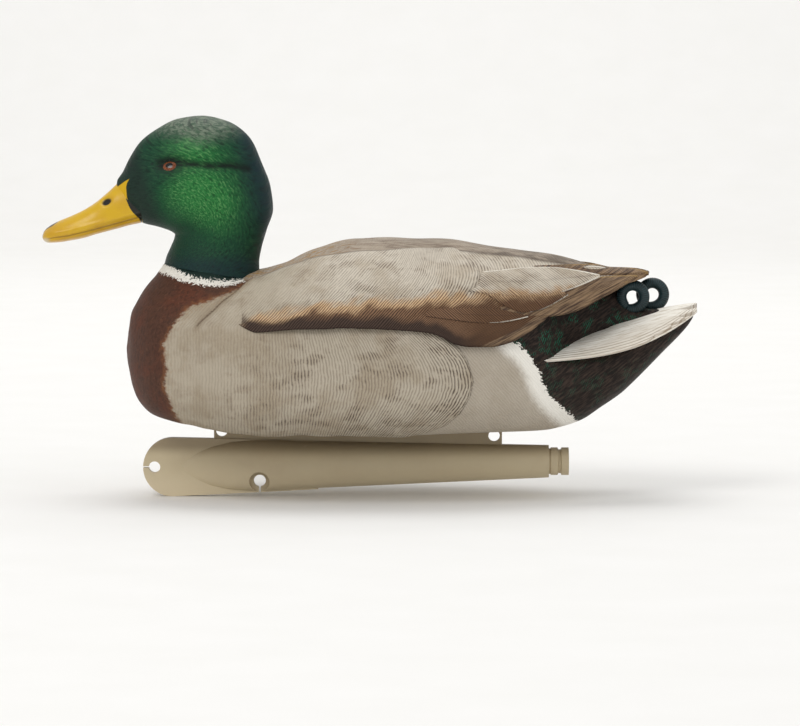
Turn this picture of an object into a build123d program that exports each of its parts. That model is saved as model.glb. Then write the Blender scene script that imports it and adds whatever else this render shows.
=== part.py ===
from build123d import *
from math import cos, pi, radians, sin
import os

# A life-size floating drake mallard decoy, in millimetres.
# +X runs from the bill towards the tail, +Z is up, and the bird faces -X.
# The origin is on the water line, at the middle of the decoy's length and width.
# Heights in the values below are counted from the keel's lowest edge, and main() moves them to the origin.
# The hollow body is one blow moulding with the folded wings, rump and tail in it.
# The hollow head turns on a snap-in neck swivel, and the bill and the eyes are set into the head.
# A weighted keel hangs under the belly on a web and a screwed flange.

# ---- Driving dimensions ----
WATERLINE_Z = 65.0        # height of the water line above the keel's lowest edge
WALL = 2.5                # wall of the body and head mouldings
KEEL_WALL = 2.2           # wall of the keel moulding
SECTION_POINTS = 12       # spline points round each lofted section

# Neck swivel: the axis leans back from the vertical, and heights on it are counted from the seat.
NECK_X, NECK_Z = -96.8, 138.1
NECK_LEAN = 9.6           # degrees
NECK_R = 29.5             # head and collar, where they meet
SEAT_GAP = 0.3            # the head stands this far above the body's seat
SHOULDER_GAP = 0.6        # air between the turning neck and the shoulders behind it
TURN_LIMIT = 60.0         # degrees each way, where the stop lug meets the end of its slot
SPIGOT_R = 9.0
SPIGOT_CLEARANCE = 0.05
SPIGOT_END = -17.0
SOCKET_R = 15.0
SOCKET_FLANGE_R = 20.0
SOCKET_FLANGE_T = 4.0
SOCKET_END = -12.0
PLUG_R = 24.0
PLUG_T = 8.0
STOP_R_IN, STOP_R_OUT = 13.0, 17.0
STOP_DEPTH = 2.5
STOP_HALF_ANGLE = 6.0
SEAL_R, SEAL_SECTION_R, SEAL_ROOM = 24.5, 1.1, 0.2
CLIP_R_IN, CLIP_R_OUT, CLIP_T, CLIP_GAP, CLIP_MOUTH = 7.5, 12.5, 1.8, 0.3, 6.0
# The collar and the upper breast, round under the swivel: radius, height on the neck axis.
FLARE_PROFILE = [(NECK_R, 0.0), (31.6, -5.7), (36.6, -12.5), (40.6, -23.0), (42.5, -32.0), (30.0, -50.0)]

# Body sections: x, lowest z, highest z, half width, and how far up the widest point is.
BODY_SECTIONS = [
    (-147.9, 82.0, 101.0, 9.0, 0.48),
    (-145.5, 68.8, 113.0, 24.0, 0.47),
    (-140.6, 59.0, 121.0, 36.0, 0.46),
    (-132.0, 51.8, 128.0, 49.0, 0.45),
    (-116.7, 47.0, 132.0, 62.0, 0.44),
    (-97.0, 44.8, 134.5, 70.5, 0.43),
    (-67.7, 41.2, 138.0, 77.5, 0.42),
    (-43.2, 39.9, 145.5, 80.5, 0.41),
    (-12.6, 39.3, 152.5, 82.0, 0.40),
    (18.0, 39.5, 153.0, 81.5, 0.40),
    (48.7, 40.6, 150.0, 78.0, 0.41),
    (79.3, 41.3, 145.0, 69.5, 0.42),
    (106.9, 42.2, 137.5, 56.0, 0.44),
    (128.3, 47.5, 130.5, 45.0, 0.50),
    (152.8, 63.0, 121.0, 38.0, 0.58),
    (177.3, 88.0, 112.5, 29.0, 0.62),
    (193.5, 105.0, 114.0, 14.0, 0.62),
]
# Cavity sections, with the ceiling lowered under the neck so that the swivel sits in thick material.
CAVITY_SECTIONS = [
    (-141.0, 66.0, 110.0, 28.0, 0.46),
    (-132.0, 54.8, 119.0, 44.5, 0.45),
    (-116.7, 49.8, 122.0, 59.0, 0.44),
    (-97.0, 47.5, 123.0, 68.0, 0.43),
    (-67.7, 43.9, 129.0, 75.0, 0.42),
    (-43.2, 42.6, 142.6, 78.0, 0.41),
    (-12.6, 42.0, 154.2, 79.5, 0.40),
    (18.0, 42.2, 155.0, 79.0, 0.40),
    (48.7, 43.3, 152.4, 75.5, 0.41),
    (79.3, 44.0, 147.6, 67.0, 0.42),
    (106.9, 45.0, 138.0, 53.0, 0.44),
    (128.3, 51.2, 112.0, 40.0, 0.50),
    (150.0, 67.0, 101.0, 32.0, 0.56),
    (168.0, 84.0, 99.0, 18.0, 0.58),
]
BODY_SQUARENESS = 2.35    # exponent of the sections' outline: 2 is an ellipse
BELLY_SQUARENESS = 2.9    # the same below the widest point, where the belly is flatter

# Folded wings: a shell that stands proud of the body, cut to the wings' outline from the side.
WING_SECTIONS = [
    (-90.0, 50.0, 137.0, 77.0, 0.42),
    (-67.7, 46.0, 141.0, 81.0, 0.42),
    (-43.2, 44.0, 149.0, 84.0, 0.41),
    (-12.6, 43.0, 158.2, 85.5, 0.40),
    (18.0, 43.0, 158.3, 85.0, 0.40),
    (48.7, 44.0, 157.2, 81.5, 0.41),
    (79.3, 46.0, 152.4, 73.0, 0.42),
    (106.9, 60.0, 147.0, 58.0, 0.44),
    (128.3, 90.0, 144.8, 44.0, 0.46),
    (152.8, 118.0, 142.5, 27.0, 0.50),
    (169.5, 128.0, 141.0, 13.0, 0.50),
]
WING_OUTLINE = [
    (-66.0, 146.0), (-84.0, 111.0), (-74.0, 105.0), (-45.0, 109.5), (-12.6, 110.5), (18.0, 110.0),
    (45.0, 103.5), (67.0, 99.0), (90.0, 102.5), (112.0, 116.0), (135.0, 127.5), (169.5, 137.0),
]
WING_OUTLINE_TOP = 165.0

# Tail fan: x, ridge z, edge z, half width. It is a shallow roof over the undertail.
TAIL_SECTIONS = [
    (108.0, 96.0, 90.3, 34.0),
    (140.6, 102.3, 91.3, 46.0),
    (171.2, 112.7, 100.6, 45.0),
    (192.7, 116.1, 107.2, 27.0),
    (200.0, 116.9, 113.0, 9.0),
]
TAIL_EDGE_T = 3.0

# Curled tail feathers: two soft rings on stems, plugged into the rump.
CURL_R, CURL_SECTION_R = 8.6, 3.2
CURL_STEM_R, CURL_STEM_DEPTH = 2.4, 9.0
CURL_PLACES = {"tail_curl_left": (159.5, -6.5, 123.5), "tail_curl_right": (171.8, 6.5, 123.2)}
CURL_STEM_LEAN = 35.0     # degrees from the vertical, towards the bird's front

# Neck sections across the neck axis: height above the seat, front, back, half width.
NECK_SECTIONS = [
    (SEAT_GAP, -29.5, 29.5, 29.5),
    (4.0, -28.9, 28.8, 28.8),
    (10.0, -27.6, 27.2, 26.6),
    (18.0, -26.0, 27.2, 24.8),
    (28.0, -25.0, 28.2, 24.4),
    (40.0, -26.0, 29.4, 24.0),
]
# Skull sections: x, lowest z, highest z, half width, and how far up the widest point is.
SKULL_SECTIONS = [
    (-147.6, 178.0, 204.0, 7.5, 0.46),
    (-144.6, 171.5, 212.0, 12.5, 0.46),
    (-138.1, 168.2, 219.6, 17.0, 0.45),
    (-128.0, 165.5, 227.0, 21.6, 0.44),
    (-114.0, 161.5, 232.5, 25.2, 0.44),
    (-100.0, 156.5, 234.0, 26.8, 0.44),
    (-87.0, 152.0, 231.0, 26.6, 0.46),
    (-76.9, 150.0, 223.9, 24.2, 0.47),
    (-69.0, 153.0, 213.0, 19.6, 0.48),
    (-63.2, 161.5, 199.0, 12.0, 0.48),
    (-60.6, 170.0, 188.0, 5.0, 0.48),
]
HEAD_SQUARENESS = 2.05

# Bill sections: x, lowest z, highest z, half width.
BILL_SECTIONS = [
    (-138.0, 169.5, 191.0, 13.0),
    (-148.0, 165.6, 194.5, 12.8),
    (-154.0, 164.6, 191.0, 12.4),
    (-165.5, 161.2, 181.8, 11.2),
    (-178.0, 158.0, 173.8, 11.4),
    (-190.0, 156.4, 168.6, 12.2),
    (-196.5, 155.8, 165.0, 10.6),
    (-200.0, 157.4, 161.6, 5.4),
]
BILL_TONGUE = (16.0, 10.0, 9.0)
BILL_TONGUE_CENTRE = (-141.0, 0.0, 181.0)

EYE_R, EYE_DEPTH, EYE_BULGE = 4.4, 3.0, 1.2
EYE_X, EYE_Y, EYE_Z = -122.8, 20.6, 204.6
EYE_TURN, EYE_TIP = 16.0, 14.0   # degrees: the eyes look a little forward and up

# Keel: straight top and bottom edges from the round nose to the tail end.
KEEL_NOSE_X, KEEL_END_X = -139.4, 109.3
KEEL_TOP_FRONT, KEEL_TOP_REAR = 36.1, 31.4
KEEL_BOTTOM_FRONT, KEEL_BOTTOM_REAR = 0.0, 11.4
KEEL_STRAIGHT_X = -121.5          # where the nose's curve meets the straight edges
KEEL_PLATE_T = 6.0
# Swelling of the keel: x, half width, half height, centre z.
KEEL_SECTIONS = [
    (-117.0, 2.6, 5.0, 18.2),
    (-108.0, 4.6, 9.2, 18.4),
    (-98.0, 7.4, 12.8, 18.6),
    (-86.0, 10.4, 15.2, 18.8),
    (-72.0, 13.0, 16.0, 19.0),
    (-56.0, 14.4, 15.8, 19.2),
    (-43.2, 14.6, 15.0, 19.4),
    (KEEL_END_X, 10.0, 10.0, 21.4),
]
KEEL_PLATE_END = -32.0             # the flat plate ends here inside the swelling
KEEL_CAVITY_START, KEEL_CAVITY_END = -92.0, 96.0
BALLAST_START, BALLAST_END = -88.0, 14.0
BALLAST_GAP = 0.2
WEB_FRONT, WEB_REAR, WEB_T = -95.9, 80.6, 4.0
WEB_BASE = 25.0                   # the web starts here inside the swelling
FLANGE_Z, FLANGE_T, FLANGE_W = 46.0, 2.5, 26.0
FLANGE_ROOM = 0.5                 # air round the flange in the belly's recess
LINE_HOLES = {                    # x, z, radius of the anchor line holes
    "nose": (-132.4, 18.0, 3.5),
    "lower": (-67.9, 9.6, 3.7),
    "web_front": (-91.2, 40.2, 3.5),
    "web_rear": (75.8, 37.2, 3.5),
}
NOSE_SLOT_W, LOWER_SLOT_W = 1.0, 1.4
DIMPLE_R, DIMPLE_T = 6.2, 6.0     # round recess in the swelling, about the lower hole
THROUGH = 80.0                    # length of a cut that goes right through

SCREW_R, SCREW_L = 2.0, 12.0
SCREW_HEAD_R, SCREW_HEAD_T = 3.6, 2.4
SCREW_CROSS = (4.2, 0.9, 2.2)     # length, width and twice the depth of the driver's slots
SCREW_Y = 8.0
SCREW_X = (-85.0, -8.0, 69.0)
BOSS_R, BOSS_TOP = 5.5, 63.0
POCKET_WALL = 3.0                 # walls of the belly pocket that takes the flange

PLUG_BORE_R = 7.4
PLUG_SEAT_DEPTH = 12.0
PLUG_PROFILE = [                  # length behind the keel's end face, radius
    (0.0, 7.9), (1.2, 7.9), (1.2, 8.5), (5.4, 8.5), (5.9, 7.3), (7.3, 7.3), (7.8, 8.5), (12.2, 8.5),
]

NECK = Plane(
    origin=(NECK_X, 0, NECK_Z),
    x_dir=(cos(radians(NECK_LEAN)), 0, -sin(radians(NECK_LEAN))),
    z_dir=(sin(radians(NECK_LEAN)), 0, cos(radians(NECK_LEAN))),
)


# ---- Helpers ----
def rounded(angle, power):
    """The two unit coordinates of a superellipse at an angle."""
    c, s = cos(angle), sin(angle)
    return abs(c) ** (2 / power) * (1 if c >= 0 else -1), abs(s) ** (2 / power) * (1 if s >= 0 else -1)


def closed_face(points):
    return make_face(Spline(*points, periodic=True))


def turn_angles():
    return [2 * pi * k / SECTION_POINTS for k in range(SECTION_POINTS)]


def cross_section(x, low, high, half_width, wide_at, power=BODY_SQUARENESS, low_power=BELLY_SQUARENESS):
    """A face across the bird's length, widest at the share wide_at of its height."""
    middle = low + wide_at * (high - low)
    points = []
    for angle in turn_angles():
        across, up = rounded(angle, power if sin(angle) >= 0 else low_power)
        reach = (high - middle) if up >= 0 else (middle - low)
        points.append((x, half_width * across, middle + reach * up))
    return closed_face(points)


def neck_section(height, front, back, half_width):
    """A face across the neck axis: an ellipse between the neck's front and back."""
    middle, reach = (front + back) / 2, (back - front) / 2
    return NECK * Pos(middle, 0, height) * Ellipse(reach, half_width)


def body_loft(sections):
    return loft([cross_section(*s) for s in sections])


def neck_revolve(profile):
    """Turns a profile of (radius, height above the seat) about the neck axis."""
    flat = Plane(origin=NECK.origin, x_dir=NECK.x_dir, z_dir=-NECK.y_dir)
    return revolve(flat * make_face(Polyline(*profile, close=True)), Axis(NECK.origin, NECK.z_dir), 360)


def neck_cylinder(radius, low, high):
    return NECK * Pos(0, 0, low) * Cylinder(radius, high - low, align=(Align.CENTER, Align.CENTER, Align.MIN))


def arc_block(r_in, r_out, low, high, half_angle):
    """A ring segment about the neck axis, centred on its rear side."""
    band = Circle(r_out) - Circle(r_in)
    reach = 2 * r_out
    steps = [-half_angle + half_angle * k / 2 for k in range(5)]
    rim = [(reach * cos(radians(a)), reach * sin(radians(a))) for a in steps]
    wedge = make_face(Polyline((0, 0), *rim, close=True))
    return NECK * Pos(0, 0, low) * extrude(band & wedge, high - low)


def side_hole(x, z, radius, length=THROUGH):
    return Pos(x, 0, z) * Rot(90, 0, 0) * Cylinder(radius, length)


# ---- Body ----
def neck_flare():
    """The collar and the upper breast, round under the swivel."""
    return neck_revolve([(0, 0), *FLARE_PROFILE, (0, FLARE_PROFILE[-1][1])])


def folded_wings():
    first, last = WING_OUTLINE[0], WING_OUTLINE[-1]
    edge = Polyline(*WING_OUTLINE[:2]) + Spline(*WING_OUTLINE[1:])
    closing = Polyline(last, (last[0] + 1, WING_OUTLINE_TOP), (first[0], WING_OUTLINE_TOP), first)
    outline = make_face(edge + closing)
    slab = extrude(Plane.XZ * outline, 100, both=True)
    return body_loft(WING_SECTIONS) & slab


def tail_section(x, ridge, edge, half_width):
    low = edge - TAIL_EDGE_T
    left = [(x, -half_width, low), (x, -half_width, edge)]
    right = [(x, half_width, edge), (x, half_width, low)]
    return make_face(Polyline((x, 0, ridge), *right, (x, 0, low - 1), *left, close=True))


def tail_fan():
    return loft([tail_section(*s) for s in TAIL_SECTIONS], ruled=True)


def curl_place(name):
    return Pos(*CURL_PLACES[name]) * Rot(0, -CURL_STEM_LEAN, 0)


def curl_stem(name):
    low = -CURL_R - CURL_STEM_DEPTH
    return curl_place(name) * Pos(0, 0, low) * Cylinder(
        CURL_STEM_R, CURL_STEM_DEPTH, align=(Align.CENTER, Align.CENTER, Align.MIN)
    )


def curl_ring(name):
    return curl_place(name) * Rot(90, 0, 0) * Torus(CURL_R, CURL_SECTION_R)


def tail_curl(name):
    return curl_ring(name) + curl_stem(name)


def belly_block(margin, top):
    """A block over the keel's flange, wider than it by margin and reaching from below the belly up to top."""
    size = (WEB_REAR - WEB_FRONT + 2 * margin, FLANGE_W + 2 * margin, top)
    middle = (WEB_FRONT + WEB_REAR) / 2
    return Pos(middle, 0, top) * Box(*size, align=(Align.CENTER, Align.CENTER, Align.MAX))


def screw_places():
    return [(x, y) for x in SCREW_X for y in (-SCREW_Y, SCREW_Y)]


def screw_bosses():
    low = FLANGE_Z + FLANGE_T
    boss = Cylinder(BOSS_R, BOSS_TOP - low, align=(Align.CENTER, Align.CENTER, Align.MIN))
    return [Pos(x, y, low) * boss for x, y in screw_places()]


def screw_shank():
    return Cylinder(SCREW_R, SCREW_L, align=(Align.CENTER, Align.CENTER, Align.MIN))


def make_body_shell():
    shell = body_loft(BODY_SECTIONS) + neck_flare()
    shell = shell + folded_wings() + tail_fan()
    shell = shell - neck_cylinder(NECK_R + SHOULDER_GAP, 0, 60)
    flange_top = FLANGE_Z + FLANGE_T
    pocket = belly_block(FLANGE_ROOM + POCKET_WALL, flange_top + POCKET_WALL)
    shell = shell - (body_loft(CAVITY_SECTIONS) - pocket)
    for boss in screw_bosses():
        shell = shell + boss
    shell = shell - belly_block(FLANGE_ROOM, flange_top)
    for x, y in screw_places():
        shell = shell - Pos(x, y, FLANGE_Z) * screw_shank()
    shell = shell - neck_cylinder(SOCKET_R, -40, 1)
    shell = shell - neck_cylinder(SOCKET_FLANGE_R, -SOCKET_FLANGE_T, 1)
    groove = SEAL_SECTION_R + SEAL_ROOM
    inner, outer, floor = SEAL_R - groove, SEAL_R + groove, -2 * groove
    shell = shell - neck_revolve([(inner, 1), (outer, 1), (outer, floor), (inner, floor)])
    for name in CURL_PLACES:
        shell = shell - curl_ring(name) - curl_stem(name)
    return shell


# ---- Neck swivel ----
def make_neck_socket():
    bore = SPIGOT_R + SPIGOT_CLEARANCE
    ring = neck_revolve([
        (bore, 0), (SOCKET_FLANGE_R, 0), (SOCKET_FLANGE_R, -SOCKET_FLANGE_T), (SOCKET_R, -SOCKET_FLANGE_T),
        (SOCKET_R, SOCKET_END), (bore, SOCKET_END),
    ])
    slot_half_angle = TURN_LIMIT + STOP_HALF_ANGLE + 1.0
    return ring - arc_block(STOP_R_IN, STOP_R_OUT, -STOP_DEPTH, 1, slot_half_angle)


def make_neck_seal():
    return NECK * Pos(0, 0, -SEAL_SECTION_R - SEAL_ROOM / 2) * Torus(SEAL_R, SEAL_SECTION_R)


def make_neck_plug():
    clip_top = SOCKET_END - CLIP_GAP
    clip_low = clip_top - CLIP_T
    plug = neck_revolve([
        (0, SEAT_GAP + PLUG_T), (PLUG_R, SEAT_GAP + PLUG_T), (PLUG_R, SEAT_GAP), (SPIGOT_R, SEAT_GAP),
        (SPIGOT_R, clip_top), (CLIP_R_IN, clip_top), (CLIP_R_IN, clip_low), (SPIGOT_R, clip_low),
        (SPIGOT_R, SPIGOT_END + 1), (SPIGOT_R - 1, SPIGOT_END), (0, SPIGOT_END),
    ])
    lug = arc_block(STOP_R_IN + 0.3, STOP_R_OUT - 0.3, -STOP_DEPTH + 0.3, SEAT_GAP, STOP_HALF_ANGLE)
    return plug + lug


def make_neck_clip():
    clip_top = SOCKET_END - CLIP_GAP
    ring = neck_cylinder(CLIP_R_OUT, clip_top - CLIP_T, clip_top)
    ring = ring - neck_cylinder(CLIP_R_IN, clip_top - CLIP_T - 1, clip_top + 1)
    mouth = NECK * Pos(-CLIP_R_OUT, 0, clip_top) * Box(2 * CLIP_R_OUT, CLIP_MOUTH, 4 * CLIP_T)
    return ring - mouth


# ---- Head ----
def end_inset(x, inset):
    """How far a skull section moves towards the skull's middle when the skull is made smaller."""
    return inset / 2 if x < SKULL_SECTIONS[len(SKULL_SECTIONS) // 2][0] else -inset / 2


def head_solid(inset):
    """The neck and the skull in one, made smaller all round by inset."""
    neck = loft([neck_section(h, f + inset, b - inset, w - inset) for h, f, b, w in NECK_SECTIONS])
    skull = loft([
        cross_section(
            x + end_inset(x, inset), low + inset, high - inset, w - inset, wide,
            power=HEAD_SQUARENESS, low_power=HEAD_SQUARENESS,
        )
        for x, low, high, w, wide in SKULL_SECTIONS
    ])
    return neck + skull


def bill_section(x, low, high, half_width):
    """Flat underneath and rounded on top, as wide as a spoon at the tip."""
    middle = low + 0.38 * (high - low)
    points = []
    for angle in turn_angles():
        across, up = rounded(angle, 2.2)
        reach = (high - middle) if up >= 0 else (middle - low)
        points.append((x, half_width * across, middle + reach * up))
    return closed_face(points)


def bill_tongue():
    return Pos(*BILL_TONGUE_CENTRE) * Box(*BILL_TONGUE)


def eye_place(side):
    """The frame of an eye: its local +Z looks out of the head. side is -1 on the bird's left."""
    return Pos(EYE_X, side * EYE_Y, EYE_Z) * Rot(-side * (90 - EYE_TIP), 0, 0) * Rot(0, -EYE_TURN, 0)


def eye_blank(side):
    disc = Pos(0, 0, -EYE_DEPTH) * Cylinder(EYE_R, EYE_DEPTH, align=(Align.CENTER, Align.CENTER, Align.MIN))
    return eye_place(side) * disc


def make_eye(side):
    ball_r = (EYE_R ** 2 + EYE_BULGE ** 2) / (2 * EYE_BULGE)
    ball = Pos(0, 0, EYE_BULGE - ball_r) * Sphere(ball_r)
    above = Cylinder(EYE_R, 2 * EYE_BULGE, align=(Align.CENTER, Align.CENTER, Align.MIN))
    return eye_blank(side) + eye_place(side) * (ball & above)


def make_head_shell(outer):
    shell = outer - head_solid(WALL)
    shell = shell - neck_cylinder(PLUG_R, -1, SEAT_GAP + PLUG_T)
    shell = shell - bill_tongue()
    for side in (-1, 1):
        socket = eye_place(side) * Pos(0, 0, -EYE_DEPTH) * Cylinder(
            EYE_R, EYE_DEPTH + 8, align=(Align.CENTER, Align.CENTER, Align.MIN)
        )
        backing = eye_place(side) * Pos(0, 0, -EYE_DEPTH - WALL) * Cylinder(
            EYE_R + 1.5, WALL + EYE_DEPTH, align=(Align.CENTER, Align.CENTER, Align.MIN)
        )
        shell = shell + (backing & outer) - socket
    return shell


def make_bill(outer):
    bill = loft([bill_section(*s) for s in BILL_SECTIONS])
    return (bill - outer) + bill_tongue()


# ---- Keel ----
def keel_edge(x, front, rear):
    """Height of a straight keel edge at x."""
    share = (x - KEEL_STRAIGHT_X) / (KEEL_END_X - KEEL_STRAIGHT_X)
    return front + share * (rear - front)


def keel_plate():
    """The flat side outline: a round nose and two straight edges."""
    top_start = (KEEL_STRAIGHT_X, KEEL_TOP_FRONT)
    low_start = (KEEL_STRAIGHT_X, KEEL_BOTTOM_FRONT)
    nose = ThreePointArc(top_start, (KEEL_NOSE_X, (KEEL_TOP_FRONT + KEEL_BOTTOM_FRONT) / 2), low_start)
    top_end = (KEEL_PLATE_END, keel_edge(KEEL_PLATE_END, KEEL_TOP_FRONT, KEEL_TOP_REAR))
    low_end = (KEEL_PLATE_END, keel_edge(KEEL_PLATE_END, KEEL_BOTTOM_FRONT, KEEL_BOTTOM_REAR))
    outline = make_face(nose + Polyline(low_start, low_end, top_end, top_start))
    return extrude(Plane.XZ * outline, KEEL_PLATE_T / 2, both=True)


def keel_swell(inset, start, end):
    """The swollen tube of the keel, made smaller all round by inset, between two places along it."""
    faces = [Plane.YZ.offset(x) * Pos(0, z) * Ellipse(w - inset, h - inset) for x, w, h, z in KEEL_SECTIONS
             if w > inset + 1]
    tube = loft(faces, ruled=True)
    room = Pos((start + end) / 2, 0, 20) * Box(end - start, 60, 60)
    return tube & room


def keel_web():
    x_middle, length = (WEB_FRONT + WEB_REAR) / 2, WEB_REAR - WEB_FRONT
    web = Pos(x_middle, 0, WEB_BASE) * Box(
        length, WEB_T, FLANGE_Z + FLANGE_T - WEB_BASE, align=(Align.CENTER, Align.CENTER, Align.MIN)
    )
    flange = Pos(x_middle, 0, FLANGE_Z) * Box(
        length, FLANGE_W, FLANGE_T, align=(Align.CENTER, Align.CENTER, Align.MIN)
    )
    return web + flange


def make_keel_shell():
    keel = keel_plate() + keel_swell(0, -120, KEEL_END_X) + keel_web()
    keel = keel - keel_swell(KEEL_WALL, KEEL_CAVITY_START, KEEL_CAVITY_END)
    bore_start = KEEL_CAVITY_END - 2
    bore_l = KEEL_END_X - bore_start + 1
    bore = Rot(0, 90, 0) * Cylinder(PLUG_BORE_R, bore_l, align=(Align.CENTER, Align.CENTER, Align.MIN))
    keel = keel - Pos(bore_start, 0, KEEL_SECTIONS[-1][3]) * bore
    x, z, r = LINE_HOLES["lower"]
    collar = DIMPLE_R + KEEL_WALL
    keel = keel + (side_hole(x, z, collar) & keel_swell(0, x - collar, x + collar))
    for side in (-1, 1):
        keel = keel - Pos(0, side * (DIMPLE_T + THROUGH) / 2, 0) * side_hole(x, z, DIMPLE_R)
    for hole in LINE_HOLES.values():
        keel = keel - side_hole(*hole)
    keel = keel - Pos(x, 0, z) * Box(
        LOWER_SLOT_W, THROUGH, THROUGH, align=(Align.CENTER, Align.CENTER, Align.MAX)
    )
    x, z, r = LINE_HOLES["nose"]
    keel = keel - Pos(x, 0, z) * Box(
        THROUGH, THROUGH, NOSE_SLOT_W, align=(Align.MAX, Align.CENTER, Align.CENTER)
    )
    for x, y in screw_places():
        keel = keel - Pos(x, y, FLANGE_Z + FLANGE_T / 2) * Cylinder(SCREW_R, 2 * FLANGE_T)
    return keel


def make_keel_ballast():
    x, z, r = LINE_HOLES["lower"]
    fill = keel_swell(KEEL_WALL + BALLAST_GAP, BALLAST_START, BALLAST_END)
    return fill - side_hole(x, z, DIMPLE_R + KEEL_WALL)


def make_keel_end_plug():
    profile = [(0, -PLUG_SEAT_DEPTH), (PLUG_BORE_R, -PLUG_SEAT_DEPTH), (PLUG_BORE_R, 0)]
    profile += [(r, along) for along, r in PLUG_PROFILE]
    profile += [(0, PLUG_PROFILE[-1][0])]
    lathe = Plane(origin=(KEEL_END_X, 0, KEEL_SECTIONS[-1][3]), x_dir=(0, 0, 1), z_dir=(0, 1, 0))
    face = lathe * make_face(Polyline(*profile, close=True))
    return revolve(face, Axis((KEEL_END_X, 0, KEEL_SECTIONS[-1][3]), (1, 0, 0)), 360)


def make_keel_screws():
    head = Cylinder(SCREW_HEAD_R, SCREW_HEAD_T, align=(Align.CENTER, Align.CENTER, Align.MAX))
    slot = Box(*SCREW_CROSS)
    cross = Pos(0, 0, -SCREW_HEAD_T) * (slot + Rot(0, 0, 90) * slot)
    screw = head - cross + screw_shank()
    return Compound(children=[Pos(x, y, FLANGE_Z) * screw for x, y in screw_places()])


# ---- Build ----
def main():
    outer = head_solid(0)
    parts = {
        "body_shell": make_body_shell(),
        "neck_socket": make_neck_socket(),
        "neck_seal": make_neck_seal(),
        "neck_plug": make_neck_plug(),
        "neck_clip": make_neck_clip(),
        "head_shell": make_head_shell(outer),
        "bill": make_bill(outer),
        "eye_left": make_eye(-1),
        "eye_right": make_eye(1),
        "keel_shell": make_keel_shell(),
        "keel_ballast": make_keel_ballast(),
        "keel_end_plug": make_keel_end_plug(),
        "keel_screws": make_keel_screws(),
    }
    for name in CURL_PLACES:
        parts[name] = tail_curl(name)
    os.makedirs("parts", exist_ok=True)
    for name, shape in parts.items():
        export_step(Pos(0, 0, -WATERLINE_Z) * shape, f"parts/{name}.step")


main()
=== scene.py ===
import math

import bmesh
import bpy
import numpy as np
from bpy.props import FloatProperty, FloatVectorProperty, IntProperty, PointerProperty
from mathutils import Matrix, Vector


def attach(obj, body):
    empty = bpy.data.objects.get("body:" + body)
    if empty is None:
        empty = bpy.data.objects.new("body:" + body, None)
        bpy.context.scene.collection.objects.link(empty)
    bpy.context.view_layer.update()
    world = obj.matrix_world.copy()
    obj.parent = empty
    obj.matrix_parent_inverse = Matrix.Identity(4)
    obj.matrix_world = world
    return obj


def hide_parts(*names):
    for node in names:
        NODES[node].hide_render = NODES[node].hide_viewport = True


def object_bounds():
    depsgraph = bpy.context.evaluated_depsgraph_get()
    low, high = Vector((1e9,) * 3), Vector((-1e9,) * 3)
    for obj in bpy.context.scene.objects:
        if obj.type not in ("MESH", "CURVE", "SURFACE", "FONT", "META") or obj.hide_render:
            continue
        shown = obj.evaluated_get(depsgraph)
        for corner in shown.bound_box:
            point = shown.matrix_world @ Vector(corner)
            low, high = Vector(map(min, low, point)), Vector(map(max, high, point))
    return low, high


bl_info = {
    "name": "Floating Drake Decoy",
    "version": (1, 0, 0),
    "blender": (4, 5, 0),
    "location": "View3D > Sidebar > Decoy",
    "description": "Builds the painted skins and feathers of a floating drake decoy on its fixed frame",
    "category": "Object",
}

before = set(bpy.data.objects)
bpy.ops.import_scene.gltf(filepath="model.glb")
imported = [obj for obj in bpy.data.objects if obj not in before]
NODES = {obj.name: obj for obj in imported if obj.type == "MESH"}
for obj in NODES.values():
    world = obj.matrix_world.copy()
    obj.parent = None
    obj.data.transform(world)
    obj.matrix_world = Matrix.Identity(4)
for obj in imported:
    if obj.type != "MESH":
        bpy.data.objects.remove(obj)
CAD_LOW, CAD_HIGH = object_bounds()
HULL, HEAD = "hull", "head"
SIDES = ((-1, "left"), (1, "right"))

# Shapes below are in millimetres: x along the bird, heights counted from the keel's lowest edge.
MM = 0.001
FOOT = CAD_LOW.z

# The neck swivel's seat: centre, radius and backward lean.
SEAT_X, SEAT_Z, SEAT_R, SEAT_LEAN = -96.8, 138.1, 29.5, math.radians(9.6)

# Paint borders are laid out as a painter sees the bird's side, from a little above.
SIDE_LEAN = 0.075
SIDE_DEPTH = 2700
SIDE_MIDDLE = 18

# Torso rings: x, lowest z, the lower half's top, the upper half's foot, highest z, then the half widths of
# the lower and the upper half.
TORSO = [
    (-149.4, 90.5, 91, 91, 91.5, 0, 0),
    (-147.9, 80, 91, 91, 102, 11, 11),
    (-145.5, 68.6, 90, 90, 112.5, 24, 24),
    (-140.6, 58.8, 88, 88, 120, 36, 36),
    (-132, 51.4, 86.5, 86.5, 126.5, 49, 49),
    (-116.7, 46.6, 85, 85, 131, 62, 62),
    (-97, 44.2, 84, 84, 134, 70.5, 70.5),
    (-67.7, 40.6, 83, 83, 137.4, 77.5, 77.5),
    (-43.2, 39.3, 84, 84, 144, 80.5, 80.5),
    (-12.6, 38.8, 85.5, 85.5, 152.5, 82, 82),
    (18, 39.1, 86, 86, 153, 81.5, 81.5),
    (48.7, 40.2, 86, 86, 150, 78, 78),
    (79.3, 41, 85.5, 85.5, 145, 69.5, 69.5),
    (98, 41.4, 84.5, 86.5, 139, 60.5, 59),
    (106.9, 41.9, 84.5, 89, 136, 55.5, 49),
    (115, 43.4, 85.5, 92, 133, 51, 34),
    (128.3, 47.6, 86.5, 97, 129, 44, 20),
    (140.6, 55.6, 87, 102, 128, 41, 13),
    (152.8, 64, 91, 105.5, 127.5, 37, 10.5),
    (157.5, 68.2, 93, 107.5, 118.2, 35, 10.5),
    (165, 75.5, 96, 109.5, 115.5, 32, 9.5),
    (177.3, 88, 101, 112, 115, 25, 8),
    (193.5, 104.5, 109, 113.5, 115.5, 11, 5),
    (197.5, 110, 112, 113, 113.5, 0, 0),
]
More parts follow.
